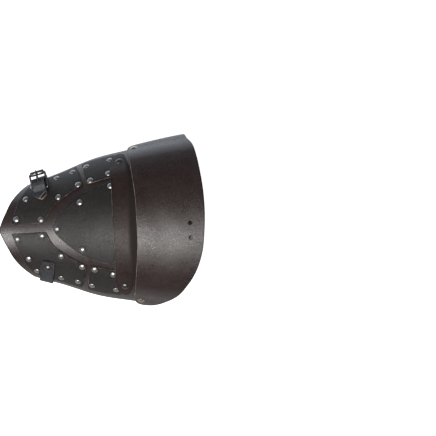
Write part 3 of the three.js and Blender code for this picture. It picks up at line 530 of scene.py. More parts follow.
def dyed_grain_group():
    """Grain side: pebbles are cells with creased borders, painted darker in the creases as shade; the
    dye is mottled by slow noise; edges are burnished dark and painted darker still as shade along the
    edge; and a dark ring of grime and painted shade lies round each rivet."""
    group, given, wanted = new_group("dyed_grain", {
        "Dye": (0.02, 0.012, 0.01, 1), "Rubbed": (0.04, 0.03, 0.03, 1),
        "Pebbles": 620.0, "Gloss": 0.4, "Edge": far_away, "Rivet": far_away,
    }, skin_outputs)
    spot = object_spot(group)
    warp = add_node(group, "ShaderNodeTexNoise", {"Vector": spot, "Scale": 300.0, "Detail": 2.0})
    bent = add_node(group, "ShaderNodeVectorMath", {0: warp.outputs["Color"], 1: (0.0009,) * 3},
                    operation="MULTIPLY").outputs[0]
    spot_bent = add_node(group, "ShaderNodeVectorMath", {0: spot, 1: bent}).outputs[0]
    crease = add_node(group, "ShaderNodeTexVoronoi", {"Vector": spot_bent, "Scale": given["Pebbles"]},
                      feature="DISTANCE_TO_EDGE").outputs["Distance"]
    cell = add_node(group, "ShaderNodeTexVoronoi", {"Vector": spot_bent, "Scale": given["Pebbles"]})
    cell_value = add_node(group, "ShaderNodeSeparateColor", {0: cell.outputs["Color"]}).outputs[0]
    pores = soft_noise(group, spot, 2600.0, 2.0)
    slow = soft_noise(group, spot, 22.0, 3.0)
    patch = soft_noise(group, spot, 95.0, 4.0)
    pebble = between(group, crease, 0.0, 0.2)
    mottle = sum_up(group, "MULTIPLY_ADD", slow, 0.9, sum_up(group, "MULTIPLY_ADD", patch, 0.7, -0.4))
    mottle = sum_up(group, "MULTIPLY_ADD", cell_value, 0.25, mottle)
    colour = blend_colour(group, between(group, mottle, 0.1, 0.85), given["Dye"], given["Rubbed"])
    # painted shade: the pebbles' creases are darker
    crease_shade = sum_up(group, "MULTIPLY_ADD", pebble, 0.4, 0.6)
    # burnished edge, widened into painted shade along the edge
    edge_burnish_and_shade = between(group, given["Edge"], 0.2, 2.4, 0.3, 1.0)
    # grime and painted shade: a dark ring round each rivet
    ring = between(group, given["Rivet"], 4.6, 6.6, 0.35, 1.0)
    shade = sum_up(group, "MULTIPLY", sum_up(group, "MULTIPLY", crease_shade, edge_burnish_and_shade), ring)
    shaded = blend_colour(group, 1.0, colour, grey(group, shade), "MULTIPLY")
    group.links.new(shaded, wanted["Colour"])
    rough = sum_up(group, "MULTIPLY_ADD", patch, 0.08, given["Gloss"])
    rough = sum_up(group, "MULTIPLY_ADD", cell_value, 0.1, rough)
    group.links.new(sum_up(group, "MULTIPLY_ADD", pebble, -0.08, rough), wanted["Roughness"])
    height = sum_up(group, "MULTIPLY_ADD", cell_value, 0.35, pebble)
    group.links.new(sum_up(group, "MULTIPLY_ADD", pores, 0.3, height), wanted["Height"])
    return group


dyed_grain = dyed_grain_group()


def skin_material(name, group, feeds, depth, surface, attributes=(), strength=1.0):
    """Material whose colour, roughness and bump come from a node group, fed with values and with
    named attributes of the mesh."""
    material, tree, shader = new_material(name, surface)
    skin = add_node(tree, "ShaderNodeGroup", feeds, node_tree=group)
    for label, attribute in attributes:
        source = add_node(tree, "ShaderNodeAttribute", attribute_name=attribute)
        tree.links.new(source.outputs["Fac"], skin.inputs[label])
    bump = add_node(tree, "ShaderNodeBump", {
        "Height": skin.outputs["Height"], "Distance": depth, "Strength": strength})
    tree.links.new(skin.outputs["Colour"], shader.inputs["Base Color"])
    if "Roughness" in skin.outputs:
        tree.links.new(skin.outputs["Roughness"], shader.inputs["Roughness"])
    tree.links.new(bump.outputs[0], shader.inputs["Normal"])
    return material


def grain_leather(name, dye, rubbed, gloss, shine=0.5, pebbles=620.0, depth=0.00013):
    """Grain side of a plate in its dye, its pebbles raised by bump."""
    feeds = {"Dye": (*dye, 1), "Rubbed": (*rubbed, 1), "Pebbles": pebbles, "Gloss": gloss}
    return skin_material(name, dyed_grain, feeds, depth, {"Specular IOR Level": shine},
                         attributes=(("Edge", "from_edge"), ("Rivet", "from_rivet")))


def raw_fibre_group():
    """Cut leather: pale core fibres, stained in patches by slow noise, and their felted height."""
    group, given, wanted = new_group("raw_fibre", {
        "Core": (0.2, 0.15, 0.12, 1), "Stained": (0.05, 0.035, 0.03, 1), "Fibres": 900.0,
    }, ("Colour", "Height"))
    spot = object_spot(group)
    fibre = soft_noise(group, spot, given["Fibres"], 5.0)
    patch = soft_noise(group, spot, 70.0, 3.0)
    share = sum_up(group, "MULTIPLY_ADD", fibre, 0.6, sum_up(group, "MULTIPLY_ADD", patch, 1.2, -0.4))
    colour = blend_colour(group, between(group, share, 0.35, 0.75), given["Stained"], given["Core"])
    group.links.new(colour, wanted["Colour"])
    group.links.new(fibre, wanted["Height"])
    return group


raw_fibre = raw_fibre_group()


def fibre_leather(name, core, stained, fibres):
    """Cut edge or flesh side, with a felted bump."""
    feeds = {"Core": (*core, 1), "Stained": (*stained, 1), "Fibres": fibres}
    return skin_material(name, raw_fibre, feeds, 0.00015, {"Roughness": 0.85})


brown_grain = grain_leather("brown_grain", (0.023, 0.012, 0.0104), (0.034, 0.0192, 0.0168), gloss=0.31,
                            shine=0.88, depth=0.00004)
cut_edge = fibre_leather("cut_edge", (0.20, 0.158, 0.14), (0.022, 0.016, 0.014), 1500.0)
flesh_side = fibre_leather("flesh_side", (0.17, 0.10, 0.06), (0.06, 0.032, 0.02), 900.0)
brown_leather = [brown_grain, cut_edge, flesh_side]


def flat_layer(distance):
    """Layer that keeps one distance from the form all the way around."""
    return lambda around: distance + 0 * around


def form_layer(inner):
    """Placing function of a plate: flat u, v and height to a point, on an inner face at a
    distance from the form that may change around it."""
    def place(u, v, height):
        around = v / form_half_width
        return on_form(u, around, inner(around) + height)
    return place


outline, starts = cut_outline(on_pattern([
    base_hem * [1, -1],
    np.concatenate([base_neck_end * [1, -1], base_neck_end[::-1][1:]]),
    base_hem[::-1],
    np.concatenate([base_leaf_end[::-1], (base_leaf_end * [1, -1])[1:]]),
], base_start, base_length), ease=2.6)
base_plate = leather_piece(
    "base_plate_leather", outline, starts, form_layer(flat_layer(0.0)),
    base_thickness, brown_leather)
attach(base_plate, "arm_plate")
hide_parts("base_plate")


# Centre plate: an ogive of blackish leather on the crown, riveted down at its point and sides.
# Its straight end is tucked under the shoulder band.
overlay_inner = base_thickness + sheet_gap
overlay_outer = overlay_inner + overlay_thickness
centre_start, centre_length = -68.83, 92.83
centre_side = np.array([
    (0.0, 0.0), (0.055, 0.09), (0.16, 0.168), (0.3, 0.25),
    (0.42, 0.3), (0.547, 0.328), (0.72, 0.355), (1.0, 0.405),
])
centre_rivets = np.array([(0.066, -0.022), (0.43, 0.228), (0.435, -0.246), (0.902, 0.34), (0.957, -0.34)])
centre_point = 12


def on_plate(rows, start, length, sign=1):
    """Rivet places of a plate in flat millimetres."""
    return rows * [length, sign * form_half_width] + [start, 0]


black_grain = grain_leather("black_grain", (0.0165, 0.0135, 0.012), (0.028, 0.0235, 0.021), gloss=0.4,
                            shine=0.42, depth=0.00009)
black_leather = [black_grain, cut_edge, flesh_side]
overlay_layer = flat_layer(overlay_inner)
overlay_place = form_layer(overlay_layer)

outline, starts = cut_outline(on_pattern([
    centre_side * [1, -1],
    np.array([(1.0, -centre_side[-1, 1]), (1.0, 0.0), (1.0, centre_side[-1, 1])]),
    centre_side[::-1],
], centre_start, centre_length), ease=1.6)
corners = [centre_point, starts[1], starts[2], len(outline) - centre_point]
centre_plate = leather_piece(
    "centre_plate_leather", outline, corners, overlay_place, overlay_thickness, black_leather,
    rivets=on_plate(centre_rivets, centre_start, centre_length))
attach(centre_plate, "arm_plate")
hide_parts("centre_plate")


# Reinforcement plates: two long ones beside the ridge and two short ones behind them, of the
# same blackish leather, riveted through the base plate. The short ones end under the band.
outer_start, outer_length = -126.5, 102.5
inner_start, inner_length = -24.495, 46.495
outer_edges = [
    np.array([(0.0, 0.066), (0.468, 0.058)]),
    np.array([(0.468, 0.058), (0.58, 0.235), (0.698, 0.308), (0.854, 0.37), (1.0, 0.42)]),
    np.array([(1.0, 0.42), (0.966, 0.57), (0.922, 0.775)]),
    np.array([(0.922, 0.775), (0.522, 0.755), (0.288, 0.72)]),
    np.array([(0.288, 0.72), (0.21, 0.6), (0.112, 0.4), (0.044, 0.2), (0.0, 0.066)]),
]
inner_edges = [
    np.array([(0.172, 0.412), (1.0, 0.435)]),
    np.array([(1.0, 0.435), (1.0, 0.77)]),
    np.array([(1.0, 0.77), (0.0, 0.77)]),
    np.array([(0.0, 0.77), (0.097, 0.5), (0.172, 0.412)]),
]
outer_rivets = np.array([
    (0.078, 0.144), (0.414, 0.1), (0.216, 0.444), (0.66, 0.347),
    (0.937, 0.438), (0.866, 0.675), (0.644, 0.68), (0.32, 0.655),
])
inner_rivets = np.array([(0.245, 0.45), (0.137, 0.68), (0.8, 0.485), (0.85, 0.686)])
slopes = (("back", 1), ("front", -1))

reinforcements = (
    # kind, sides, start, length, rivets, which sides start at the grid's corners
    ("outer", outer_edges, outer_start, outer_length, outer_rivets, [0, 2, 3, 4]),
    ("inner", inner_edges, inner_start, inner_length, inner_rivets, [0, 1, 2, 3]),
)

for label, sign in slopes:
    for kind, edges, start, length, rows, back_corners in reinforcements:
        node = f"{kind}_plate_{label}"
        outline, starts = cut_outline(on_pattern(edges, start, length, sign), ease=1.5)
        corners = starts[back_corners if sign > 0 else [1, 2, 3, 0]]
        piece = leather_piece(
            f"{node}_leather", outline, corners, overlay_place, overlay_thickness, black_leather,
            rivets=on_plate(rows, start, length, sign))
        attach(piece, "arm_plate")
        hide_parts(node)


# Shoulder band: a narrow lame of the reddish-brown leather across the plates' ends, with round
# ends, hung on one rivet at each side so that it can tip a little.
cover_clearance = 0.6
band_thickness = 2.6
band_rise = 2.1
band_start, band_width = 16.2, 41.8
band_pivot = (12.0, 0.595)
band_side = np.array([
    (0.0, 0.0), (0.0, 0.3), (0.0, 0.6), (0.035, 0.65), (0.15, 0.698), (0.3, 0.715), (0.42, 0.695),
    (0.486, 0.655), (0.533, 0.6), (0.62, 0.5), (0.79, 0.35), (0.94, 0.18), (1.0, 0.0),
])
band_corners = np.array([(0.09, -0.68), (0.45, -0.68), (0.45, 0.68), (0.09, 0.68)])
band_inner = overlay_outer + cover_clearance


def soft_step(value, low, high):
    """0 below the low limit, 1 above the high one, a cubic ease between."""
    t = np.clip((value - low) / (high - low), 0, 1)
    return t * t * (3 - 2 * t)


def nearest(outline, places):
    """Index of the outline point nearest to each place."""
    return np.linalg.norm(outline[None] - places[:, None], axis=2).argmin(1)


def band_layer(around):
    """Distance of the band's flesh side from the form: higher over the crown."""
    return band_inner + band_rise * (1 - soft_step(np.abs(around), 0.42, 0.58))


def past_place_group():
    """Mask of what lies past a place along the piece, fading in between two limits."""
    group, given, wanted = new_group("past_place", {"Low": 0.0, "High": 1.0}, ("Mask",))
    along = add_node(group, "ShaderNodeSeparateXYZ", {0: object_spot(group)}).outputs["X"]
    group.links.new(between(group, along, given["Low"], given["High"]), wanted["Mask"])
    return group


past_place = past_place_group()


def darken_past(material, low, high, dark, rougher=0.0):
    """Leather made darker past a place along the piece, and rougher there if asked."""
    tree = material.node_tree
    base, rough = (tree.nodes["Principled BSDF"].inputs[label] for label in ("Base Color", "Roughness"))
    feeds = {"Low": low, "High": high}
    mask = add_node(tree, "ShaderNodeGroup", feeds, node_tree=past_place).outputs["Mask"]
    tree.links.new(blend_colour(tree, mask, base.links[0].from_socket, (*dark, 1)), base)
    if rougher:
        tree.links.new(sum_up(tree, "MULTIPLY_ADD", mask, rougher, rough.links[0].from_socket), rough)


def pivot_places(start, pivot):
    """Flat places of a plate's two pivot rivets, back and front."""
    return [(start + pivot[0], sign * pivot[1] * form_half_width) for _, sign in slopes]


band_grain = grain_leather("band_grain", (0.022, 0.011, 0.0095), (0.036, 0.0205, 0.018), gloss=0.32,
                           shine=0.32, depth=0.00009)
# painted shade: the part under the neck plate is darker and rougher, where the neck plate's shade falls
darken_past(band_grain, 0.034, 0.042, (0.012, 0.0065, 0.0058), rougher=0.4)
band_leather = [band_grain, cut_edge, flesh_side]

outline, starts = cut_outline(on_pattern(
    [band_side[::-1], band_side * [1, -1]], band_start, band_width), ease=0.8)
band = leather_piece(
    "band_leather", outline, nearest(outline, on_plate(band_corners, band_start, band_width)),
    form_layer(band_layer), band_thickness, band_leather, rivets=pivot_places(band_start, band_pivot))
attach(band, "band")
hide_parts("band")


# Neck plate: the widest plate, of the same brown leather, steep at the back and cut away at the
# front. It turns on two rivets, and two punched holes on the crown take a lace.
neck_thickness = 3.0
neck_rise_at_hem = 1.5
neck_clearance = 2.4
neck_start, neck_length = 39.8, 104.3
neck_pivot = (9.2, 0.8)
neck_inner_hem = base_thickness + neck_rise_at_hem
neck_inner_crown = band_inner + band_rise + band_thickness + neck_clearance
lace_hole_radius = 2.5
lace_hole_inset = 21.0
lace_holes_around = (-0.028, -0.129)
neck_band_side = np.array([
    (0.09, 0.0), (0.083, 0.2), (0.045, 0.43), (0.0165, 0.63), (0.0, 0.745),
    (0.004, 0.81), (0.018, 0.87), (0.05, 0.925), (0.11, 0.958),
])
neck_back_hem = np.array([(0.765, 0.955), (0.4, 0.962), (0.11, 0.958)])
neck_collar = np.array([
    (0.11, -0.958), (0.2, -0.925), (0.336, -0.835), (0.5, -0.695), (0.68, -0.53),
    (0.81, -0.415), (0.9, -0.306), (0.948, -0.22), (0.982, -0.097), (1.0, 0.02),
    (0.998, 0.153), (0.962, 0.34), (0.89, 0.57), (0.823, 0.715), (0.765, 0.955),
])
neck_turn = np.array([(0.86, -0.36)])


def neck_layer(around):
    """Distance of the neck plate's flesh side from the form: close at the hems, clear of the
    band over the crown."""
    lift = 1 - soft_step(np.abs(around), 0.52, 0.8)
    return neck_inner_hem + (neck_inner_crown - neck_inner_hem) * lift


neck_grain = grain_leather("neck_grain", (0.023, 0.0108, 0.0094), (0.036, 0.0195, 0.017), gloss=0.31,
                           shine=0.68, pebbles=560.0, depth=0.00006)
neck_edge = fibre_leather("neck_edge", (0.34, 0.25, 0.215), (0.13, 0.09, 0.075), 1500.0)
# painted shade: past this place the cut edge is darker, which darkens the lace holes' walls and the
# collar's edge; the edge over the band is bare
darken_past(neck_edge, 0.055, 0.085, (0.010, 0.006, 0.005))
neck_leather = [neck_grain, neck_edge, flesh_side]

outline, starts = cut_outline(on_pattern([
    neck_collar, neck_back_hem, np.concatenate([neck_band_side[::-1], (neck_band_side * [1, -1])[1:]]),
], neck_start, neck_length), ease=2.6)
turn_corner = nearest(outline, on_plate(neck_turn, neck_start, neck_length))[0]
corners = [starts[0], turn_corner, starts[1], starts[2]]
neck_plate = leather_piece(
    "neck_plate_leather", outline, corners, form_layer(neck_layer), neck_thickness, neck_leather,
    rivets=pivot_places(neck_start, neck_pivot),
    holes=[(neck_start + neck_length - lace_hole_inset, around * form_half_width, lace_hole_radius, 0.0)
           for around in lace_holes_around])
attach(neck_plate, "neck")
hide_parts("neck_plate")


# Dome rivets: turned nickel-plated heads on a shank, spread over a burr behind the leather.
# One kind holds the plates, and larger ones with a collar carry the band and the neck plate.
rivet_sides = 28
rivet_head, rivet_height, rivet_shank = 9.0, 1.8, 3.4
rivet_burr, burr_height, burr_seat = 7.0, 1.0, 0.6
pivot_head, pivot_height, pivot_shank, pivot_burr = 11.0, 2.4, 4.0, 8.0
pivot_burr_seat = 1.1
collar_width = 9.0
head_sink = 0.25
rim_depth = 0.32
collar_gap_above, collar_gap_below = 0.5, 0.2


def turned_profile(head, height, shank, grip, burr, collar=None):
    """Rows of radius and height from the top of a rivet to the burr's end: a spherical cap with
    a rolled rim, the shank, an optional collar between two heights, and a rounded burr."""
    ball = (head ** 2 / 4 + height ** 2) / (2 * height)
    turn = np.linspace(0, np.arcsin(head / 2 / ball), 9)
    cap = np.stack([ball * np.sin(turn), ball * np.cos(turn) - ball + height], axis=1)
    rim = np.array([(head / 2 + 0.02, -0.12), (head / 2 - 0.1, -0.28), (head / 2 - 0.4, -rim_depth)])
    rows = [cap, rim, [(shank / 2, -rim_depth)]]
    if collar:
        top, bottom = collar
        reach = collar_width / 2
        rows.append([(shank / 2, top), (reach, top), (reach, bottom), (shank / 2, bottom)])
    rows.append([(shank / 2, -grip), (burr / 2 - 0.2, -grip), (burr / 2, -grip - 0.25),
                 (burr / 2 * 0.7, -grip - burr_height * 0.85), (0, -grip - burr_height)])
    return np.concatenate([np.asarray(part, float) for part in rows])


def turned_piece(name, places, axes, profile, material, sides=rivet_sides):
    """Profile of radius and height carried round an axis at each place, closed at both poles."""
    side = unit(np.cross(axes, [1.0, 0.0, 0.0]))
    cross = np.cross(axes, side)
    angle = circle(sides)
    ring = side[:, None] * np.cos(angle)[:, None] + cross[:, None] * np.sin(angle)[:, None]
    body = profile[1:-1]
    points = (places[:, None, None] + axes[:, None, None] * body[None, :, None, 1:]
              + ring[:, None] * body[None, :, None, :1])
    poles = places[:, None] + axes[:, None] * profile[[0, -1], 1][None, :, None]
    rows = len(body)
    first = (np.arange(len(places)) * rows * sides)[:, None, None]
    index = first + np.arange(rows * sides).reshape(rows, sides)
    after = np.roll(index, -1, axis=2)
    walls = faces_of(index[:, :-1], index[:, 1:], after[:, 1:], after[:, :-1])
    top = np.repeat(len(places) * rows * sides + 2 * np.arange(len(places)), sides).reshape(-1, sides)
    caps = np.concatenate([
        faces_of(top, index[:, 0], after[:, 0]), faces_of(top + 1, after[:, -1], index[:, -1])])
    points = np.concatenate([points.reshape(-1, 3), poles.reshape(-1, 3)])
    return new_piece(name, in_frame(points), [walls, caps], [0, 0], [material])


def riveted(name, flat, layer, thickness, profile, material):
    """Rivets standing straight out of the leather at flat places, seated on a layer."""
    flat = np.asarray(flat, float)
    around = flat[:, 1] / form_half_width
    axes = out_of_form(flat[:, 0], around)
    level = layer(around) + thickness + hand_bent(flat[:, 0], around) - head_sink
    return turned_piece(name, raw_form(flat[:, 0], around, level), axes, profile, material)


def worn_metal_group():
    """Plated metal: fine turned scratches, a dull bloom in patches and dirt in the roughness."""
    group, given, wanted = new_group("worn_metal", {
        "Metal": (0.7, 0.68, 0.64, 1), "Dirt": (0.1, 0.085, 0.07, 1), "Polish": 0.2,
    }, skin_outputs)
    spot = object_spot(group)
    bloom = soft_noise(group, spot, 260.0, 4.0)
    scratch = soft_noise(group, spot, 2400.0, 3.0)
    share = between(group, bloom, 0.5, 0.75)
    dull = sum_up(group, "MULTIPLY", share, 0.6)
    group.links.new(blend_colour(group, dull, given["Metal"], given["Dirt"]), wanted["Colour"])
    rough = sum_up(group, "MULTIPLY_ADD", share, 0.3, given["Polish"])
    group.links.new(sum_up(group, "MULTIPLY_ADD", scratch, 0.08, rough), wanted["Roughness"])
    group.links.new(scratch, wanted["Height"])
    return group


worn_metal = worn_metal_group()


def plated_metal(name, metal, dirt, polish):
    """Plated metal in its colour and polish."""
    feeds = {"Metal": (*metal, 1), "Dirt": (*dirt, 1), "Polish": polish}
    return skin_material(name, worn_metal, feeds, 0.00002, {"Metallic": 1.0}, strength=0.6)


nickel = plated_metal("nickel", (0.42, 0.41, 0.40), (0.07, 0.064, 0.058), 0.31)
dark_nickel = plated_metal("dark_nickel", (0.15, 0.14, 0.135), (0.03, 0.027, 0.025), 0.3)
warm_nickel = plated_metal("warm_nickel", (0.50, 0.44, 0.34), (0.09, 0.07, 0.05), 0.22)

small_profile = turned_profile(
    rivet_head, rivet_height, rivet_shank, overlay_outer + burr_seat, rivet_burr)
rivet_rows = [("centre_rivets", on_plate(centre_rivets, centre_start, centre_length),
               [f"centre_rivet_{number + 1}" for number in range(len(centre_rivets))])]
for label, sign in slopes:
    for kind, _, start, length, rows, _ in reinforcements:
        rivet_rows.append((f"{kind}_rivets_{label}", on_plate(rows, start, length, sign),
                           [f"{kind}_rivet_{label}_{number + 1}" for number in range(len(rows))]))
for name, places, nodes in rivet_rows:
    rivets = riveted(name, places, overlay_layer, overlay_thickness, small_profile, nickel)
    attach(rivets, "arm_plate")
    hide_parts(*nodes)

for kind, pivot, start, layer, thickness, metal in (
        ("band", band_pivot, band_start, band_layer, band_thickness, dark_nickel),
        ("neck", neck_pivot, neck_start, neck_layer, neck_thickness, warm_nickel)):
    level = layer(np.array([pivot[1]]))[0] + thickness
    collar = (-thickness - collar_gap_above, -(level - base_thickness - collar_gap_below))
    profile = turned_profile(
        pivot_head, pivot_height, pivot_shank, level + pivot_burr_seat, pivot_burr, collar)
    for (label, _), place in zip(slopes, pivot_places(start, pivot)):
        rivets = riveted(
            f"{kind}_pivot_{label}_rivet", [place], layer, thickness, profile, metal)
        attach(rivets, "arm_plate")
        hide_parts(f"{kind}_pivot_{label}")


# Arm strap: one blackish strap riveted to the front with a large dome, laid under the arm, brought
# up behind the back hem and through the buckle, with its point lying on the buckle's tab.
strap_width, strap_thickness = 18.0, 2.2
strap_back_x = outer_start + 0.428 * outer_length
strap_front_x, strap_tip_x, tab_top_x = strap_back_x + 0.4, strap_back_x - 2.9, strap_back_x + 5.4
tab_top_around, tab_drop_around, snap_around = 0.424, 0.82, 0.531
strap_tip_around, strap_tip_length, strap_rise_around = 0.348, 7.0, 0.04
strap_point_width, strap_point_run, strap_point_inset = 1.8, 2.5, 0.3
strap_tip_clearance = 0.85
strap_front_rows = 9
slot_place = (0.0, 11.3, 4.9)
slot_radius, slot_half_length = 2.2, 2.0
tab_corner_cut = 2.5
hem_clearance, strap_bend = 0.8, 0.8
snap_head, snap_height = 12.0, 3.0
chape_clearance, chape_thickness = 1.0, 1.6
chape_rivet_head, chape_rivet_height = 7.0, 1.0
bar_around, buckle_tilt, bar_span = 0.509, -7.0, 22.5
bar_width, frame_thickness, bar_clearance = 3.0, 2.8, 0.35
strap_rise = np.array([
    # across the frame, above it, in shares of the bars' distance
    (0.62, -0.3), (0.6, -0.02), (0.53, 0.16), (0.4, 0.265), (0.22, 0.285), (0.0, 0.24),
])
strap_inner = overlay_outer + cover_clearance
chape_inner = overlay_outer + chape_clearance
chape_outer = chape_inner + 2 * chape_thickness
loop_inner = np.hypot(bar_width, frame_thickness) / 2 + bar_clearance
hem_around = base_hem[0, 1]


def raw_point(x, around, distance):
    """One point of the form in millimetres."""
    return raw_form(np.array([x]), np.array([around]), np.array([distance]))[0]


bar_centre = raw_point(strap_back_x, bar_around, chape_inner + loop_inner + chape_thickness)
along_bar = unit(raw_point(strap_back_x + strap_width / 2, bar_around, 0)
                 - raw_point(strap_back_x - strap_width / 2, bar_around, 0))
across_bar = np.array([0, np.cos(np.radians(buckle_tilt)), np.sin(np.radians(buckle_tilt))])
across_bar = unit(across_bar - along_bar * (across_bar @ along_bar))
out_of_frame = np.cross(along_bar, across_bar)
buckle_axes = np.stack([along_bar, across_bar, out_of_frame])


def in_buckle(points):
    """Points along, across and above the tab's bar, as points in millimetres."""
    return bar_centre + np.asarray(points, float) @ buckle_axes


def strip_in_buckle(line, width):
    """Rows of both edges of a strip whose middle runs across and above the tab's bar."""
    sides = np.array([-0.5, 0.5]) * width
    return in_buckle(np.stack([
        sides + 0 * line[:, :1], line[:, :1] + 0 * sides, line[:, 1:] + 0 * sides], axis=-1))


def strap_edges():
    """Rows of both edges of the strap's flesh side: down the front on the form, a small bend
    round the hem, straight over the worktop, up at the back, and through the buckle."""
    sides = np.array([-0.5, 0.5]) * strap_width

    def on_leather(x, around, distance):
        x, around, distance = np.broadcast_arrays(x, around, distance)
        return raw_form(x[:, None] + sides, around[:, None] + 0 * sides, distance[:, None] + 0 * sides)

    around = np.concatenate([[tab_top_around], np.linspace(
        tab_top_around + tab_corner_cut / form_half_width, hem_around, strap_front_rows)])
    drop = soft_step(around, tab_drop_around, hem_around) * (strap_inner - base_thickness - hem_clearance)
    x = np.interp(around, [tab_top_around, hem_around], [tab_top_x, strap_front_x])
    front = on_leather(x, -around, strap_inner - drop)

    def bend(middle, sign):
        turn = np.radians([0, 30, 60, 90])[:, None]
        x = middle + sides + 0 * turn
        edge = raw_form(x, 1 + 0 * x, base_thickness + hem_clearance + 0 * x)[..., 1]
        y = sign * (edge - strap_bend * (1 - np.cos(turn)))
        return np.stack([x, y, strap_thickness + strap_bend * (1 - np.sin(turn)) + 0 * x], axis=-1)

    down, up = bend(strap_front_x, -1), bend(strap_back_x, 1)[::-1]
    share = np.array([0.01, 0.03, 0.1, 0.3, 0.5, 0.7, 0.9, 0.97, 0.99])[:, None, None]
    under = down[-1] * (1 - share) + up[0] * share
    rise = strip_in_buckle(bar_span * strap_rise, strap_width)
    over = chape_outer + chape_rivet_height + strap_tip_clearance
    point_around = strap_tip_around + strap_tip_length / form_half_width
    end = on_leather(strap_back_x + (strap_tip_x - strap_back_x) * np.array([0.5, 0.8, 1.0]),
                     np.array([point_around + strap_rise_around, point_around, strap_tip_around]), over)
    return np.concatenate([front, down, under, up, rise, end])


def strip_place(edges, width, count=700):
    """Placing function of a strip between two edges: flat u runs along its middle, v across it,
    and its height is square to both. Returns it with the length, the middle line and the
    length along that line up to each of its points."""
    fine = smooth_rows(edges.reshape(len(edges), 6), count)
    low, high = fine[:, :3], fine[:, 3:6]
    middle = (low + high) / 2
    run = running_length(middle)
    out = unit(np.cross(np.gradient(middle, run, axis=0), high - low))

    def place(u, v, height):
        u, v, height = (part.ravel() for part in np.broadcast_arrays(u, v, height))
        table = np.concatenate([middle, (high - low) / width, out], axis=1)
        at = np.stack([np.interp(u, run, column) for column in table.T], axis=1)
        return in_frame(at[:, :3] + v[:, None] * at[:, 3:6] + height[:, None] * at[:, 6:])

    return place, run[-1], middle, run


def straight_sides(*corners):
    """Straight sides of a closed flat outline through its corners in millimetres."""
    return np.stack([corners, corners[1:] + corners[:1]], axis=1).astype(float)


def nearest_length(middle, run, place):
    """Length along a strip's middle line at the point nearest to a place by the buckle."""
    return run[np.linalg.norm(middle - in_buckle(place), axis=1).argmin()]


strap_place, strap_length, strap_middle, strap_run = strip_place(strap_edges(), strap_width)
half_width = strap_width / 2
point_start = strap_length - strap_tip_length - strap_point_run
point_end = strap_length - strap_point_inset
outline, starts = cut_outline(straight_sides(
    (tab_corner_cut, -half_width), (point_start, -half_width),
    (point_end, -strap_point_width / 2), (point_end, strap_point_width / 2),
    (point_start, half_width), (tab_corner_cut, half_width),
    (0, half_width - tab_corner_cut), (0, tab_corner_cut - half_width),
), ease=0.7)
tab_length = np.linalg.norm(np.diff(strap_edges().mean(axis=1)[:strap_front_rows + 2], axis=0), axis=1)
snap_u = np.interp(snap_around, [tab_top_around, hem_around], [0, tab_length.sum()])
slot_u = nearest_length(strap_middle, strap_run, slot_place)

strap_grain = grain_leather("strap_grain", (0.022, 0.025, 0.031), (0.040, 0.046, 0.057), gloss=0.33)
strap_leather = [strap_grain, cut_edge, flesh_side]
arm_strap = leather_piece(
    "arm_strap_leather", outline, starts[[0, 1, 4, 5]], strap_place, strap_thickness, strap_leather,
    rivets=[(snap_u, 0.0)], holes=[(slot_u, 0.0, slot_radius, slot_half_length)], cell=1.3)
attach(arm_strap, "arm_plate")
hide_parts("arm_strap")

snap_x = np.interp(snap_around, [tab_top_around, hem_around], [tab_top_x, strap_front_x])
snap = riveted(
    "tab_snap_rivet", [(snap_x, -snap_around * form_half_width)], flat_layer(strap_inner), strap_thickness,
    turned_profile(snap_head, snap_height, rivet_shank, strap_inner + strap_thickness + burr_seat,
                   rivet_burr), dark_nickel)
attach(snap, "arm_plate")
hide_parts("tab_snap")


# Buckle tab: thinner leather folded round the buckle's bar, slotted for the prong's eye, cut to a
# point and held down by one small rivet under the strap's end.
chape_width, chape_point = 16.0, 6.0
chape_end_around, chape_rivet_around = 0.35, 0.393
chape_fold_over, chape_fold_under, half_fold_gap = 0.084, 0.04, 0.05
eye_slot_radius, eye_slot_half_length = 1.9, 3.4


def before_bar(around, distance):
    """Places of a layer of the form in the plane square to the bar, across and above it: x is
    found in four steps along the bar."""
    x = np.full_like(around, strap_back_x)
    for _ in range(4):
        x = x - (raw_form(x, around, distance + 0 * x) - bar_centre) @ along_bar / along_bar[0]
    point = raw_form(x, around, distance + 0 * x) - bar_centre
    return np.stack([point @ across_bar, point @ out_of_frame], axis=1)


def chape_edges():
    """Rows of both edges of the tab's flesh side: out to the bar under, round it, and back over."""
    middle = chape_inner + chape_thickness
    out = unit(before_bar(np.array([bar_around]), 8.0)[0] - before_bar(np.array([bar_around]), 0.0)[0])
    down = np.array([out[1], -out[0]])
    under = before_bar(
        np.linspace(chape_end_around, bar_around - chape_fold_under, 6), middle - half_fold_gap)
    over = before_bar(
        np.linspace(chape_end_around, bar_around - chape_fold_over, 5), middle + half_fold_gap)[::-1]
    turn = np.linspace(np.pi * 0.93, 0, 9)[:, None]
    loop = loop_inner * (out * np.cos(turn) + down * np.sin(turn))
    return strip_in_buckle(np.concatenate([under, loop, over]), chape_width)


chape_place, chape_length, chape_middle, chape_run = strip_place(chape_edges(), chape_width)
half_width = chape_width / 2
outline, starts = cut_outline(straight_sides(
    (chape_point, -half_width), (chape_length - chape_point, -half_width), (chape_length, 0),
    (chape_length - chape_point, half_width), (chape_point, half_width), (0, 0),
), ease=0.7)
eye_u = nearest_length(chape_middle, chape_run, (0.0, loop_inner, 0.0))
chape = leather_piece(
    "buckle_chape_leather", outline, starts[[0, 1, 3, 4]], chape_place, chape_thickness, strap_leather,
    holes=[(eye_u, 0.0, eye_slot_radius, eye_slot_half_length)], cell=0.9)
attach(chape, "arm_plate")
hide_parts("buckle_chape")

chape_rivet = riveted(
    "chape_rivet_dome", [(strap_back_x - 1, chape_rivet_around * form_half_width)],
    flat_layer(chape_inner + chape_thickness), chape_thickness,
    turned_profile(chape_rivet_head, chape_rivet_height, rivet_shank, chape_outer + burr_seat,
                   rivet_burr), nickel)
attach(chape_rivet, "arm_plate")
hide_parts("chape_rivet")
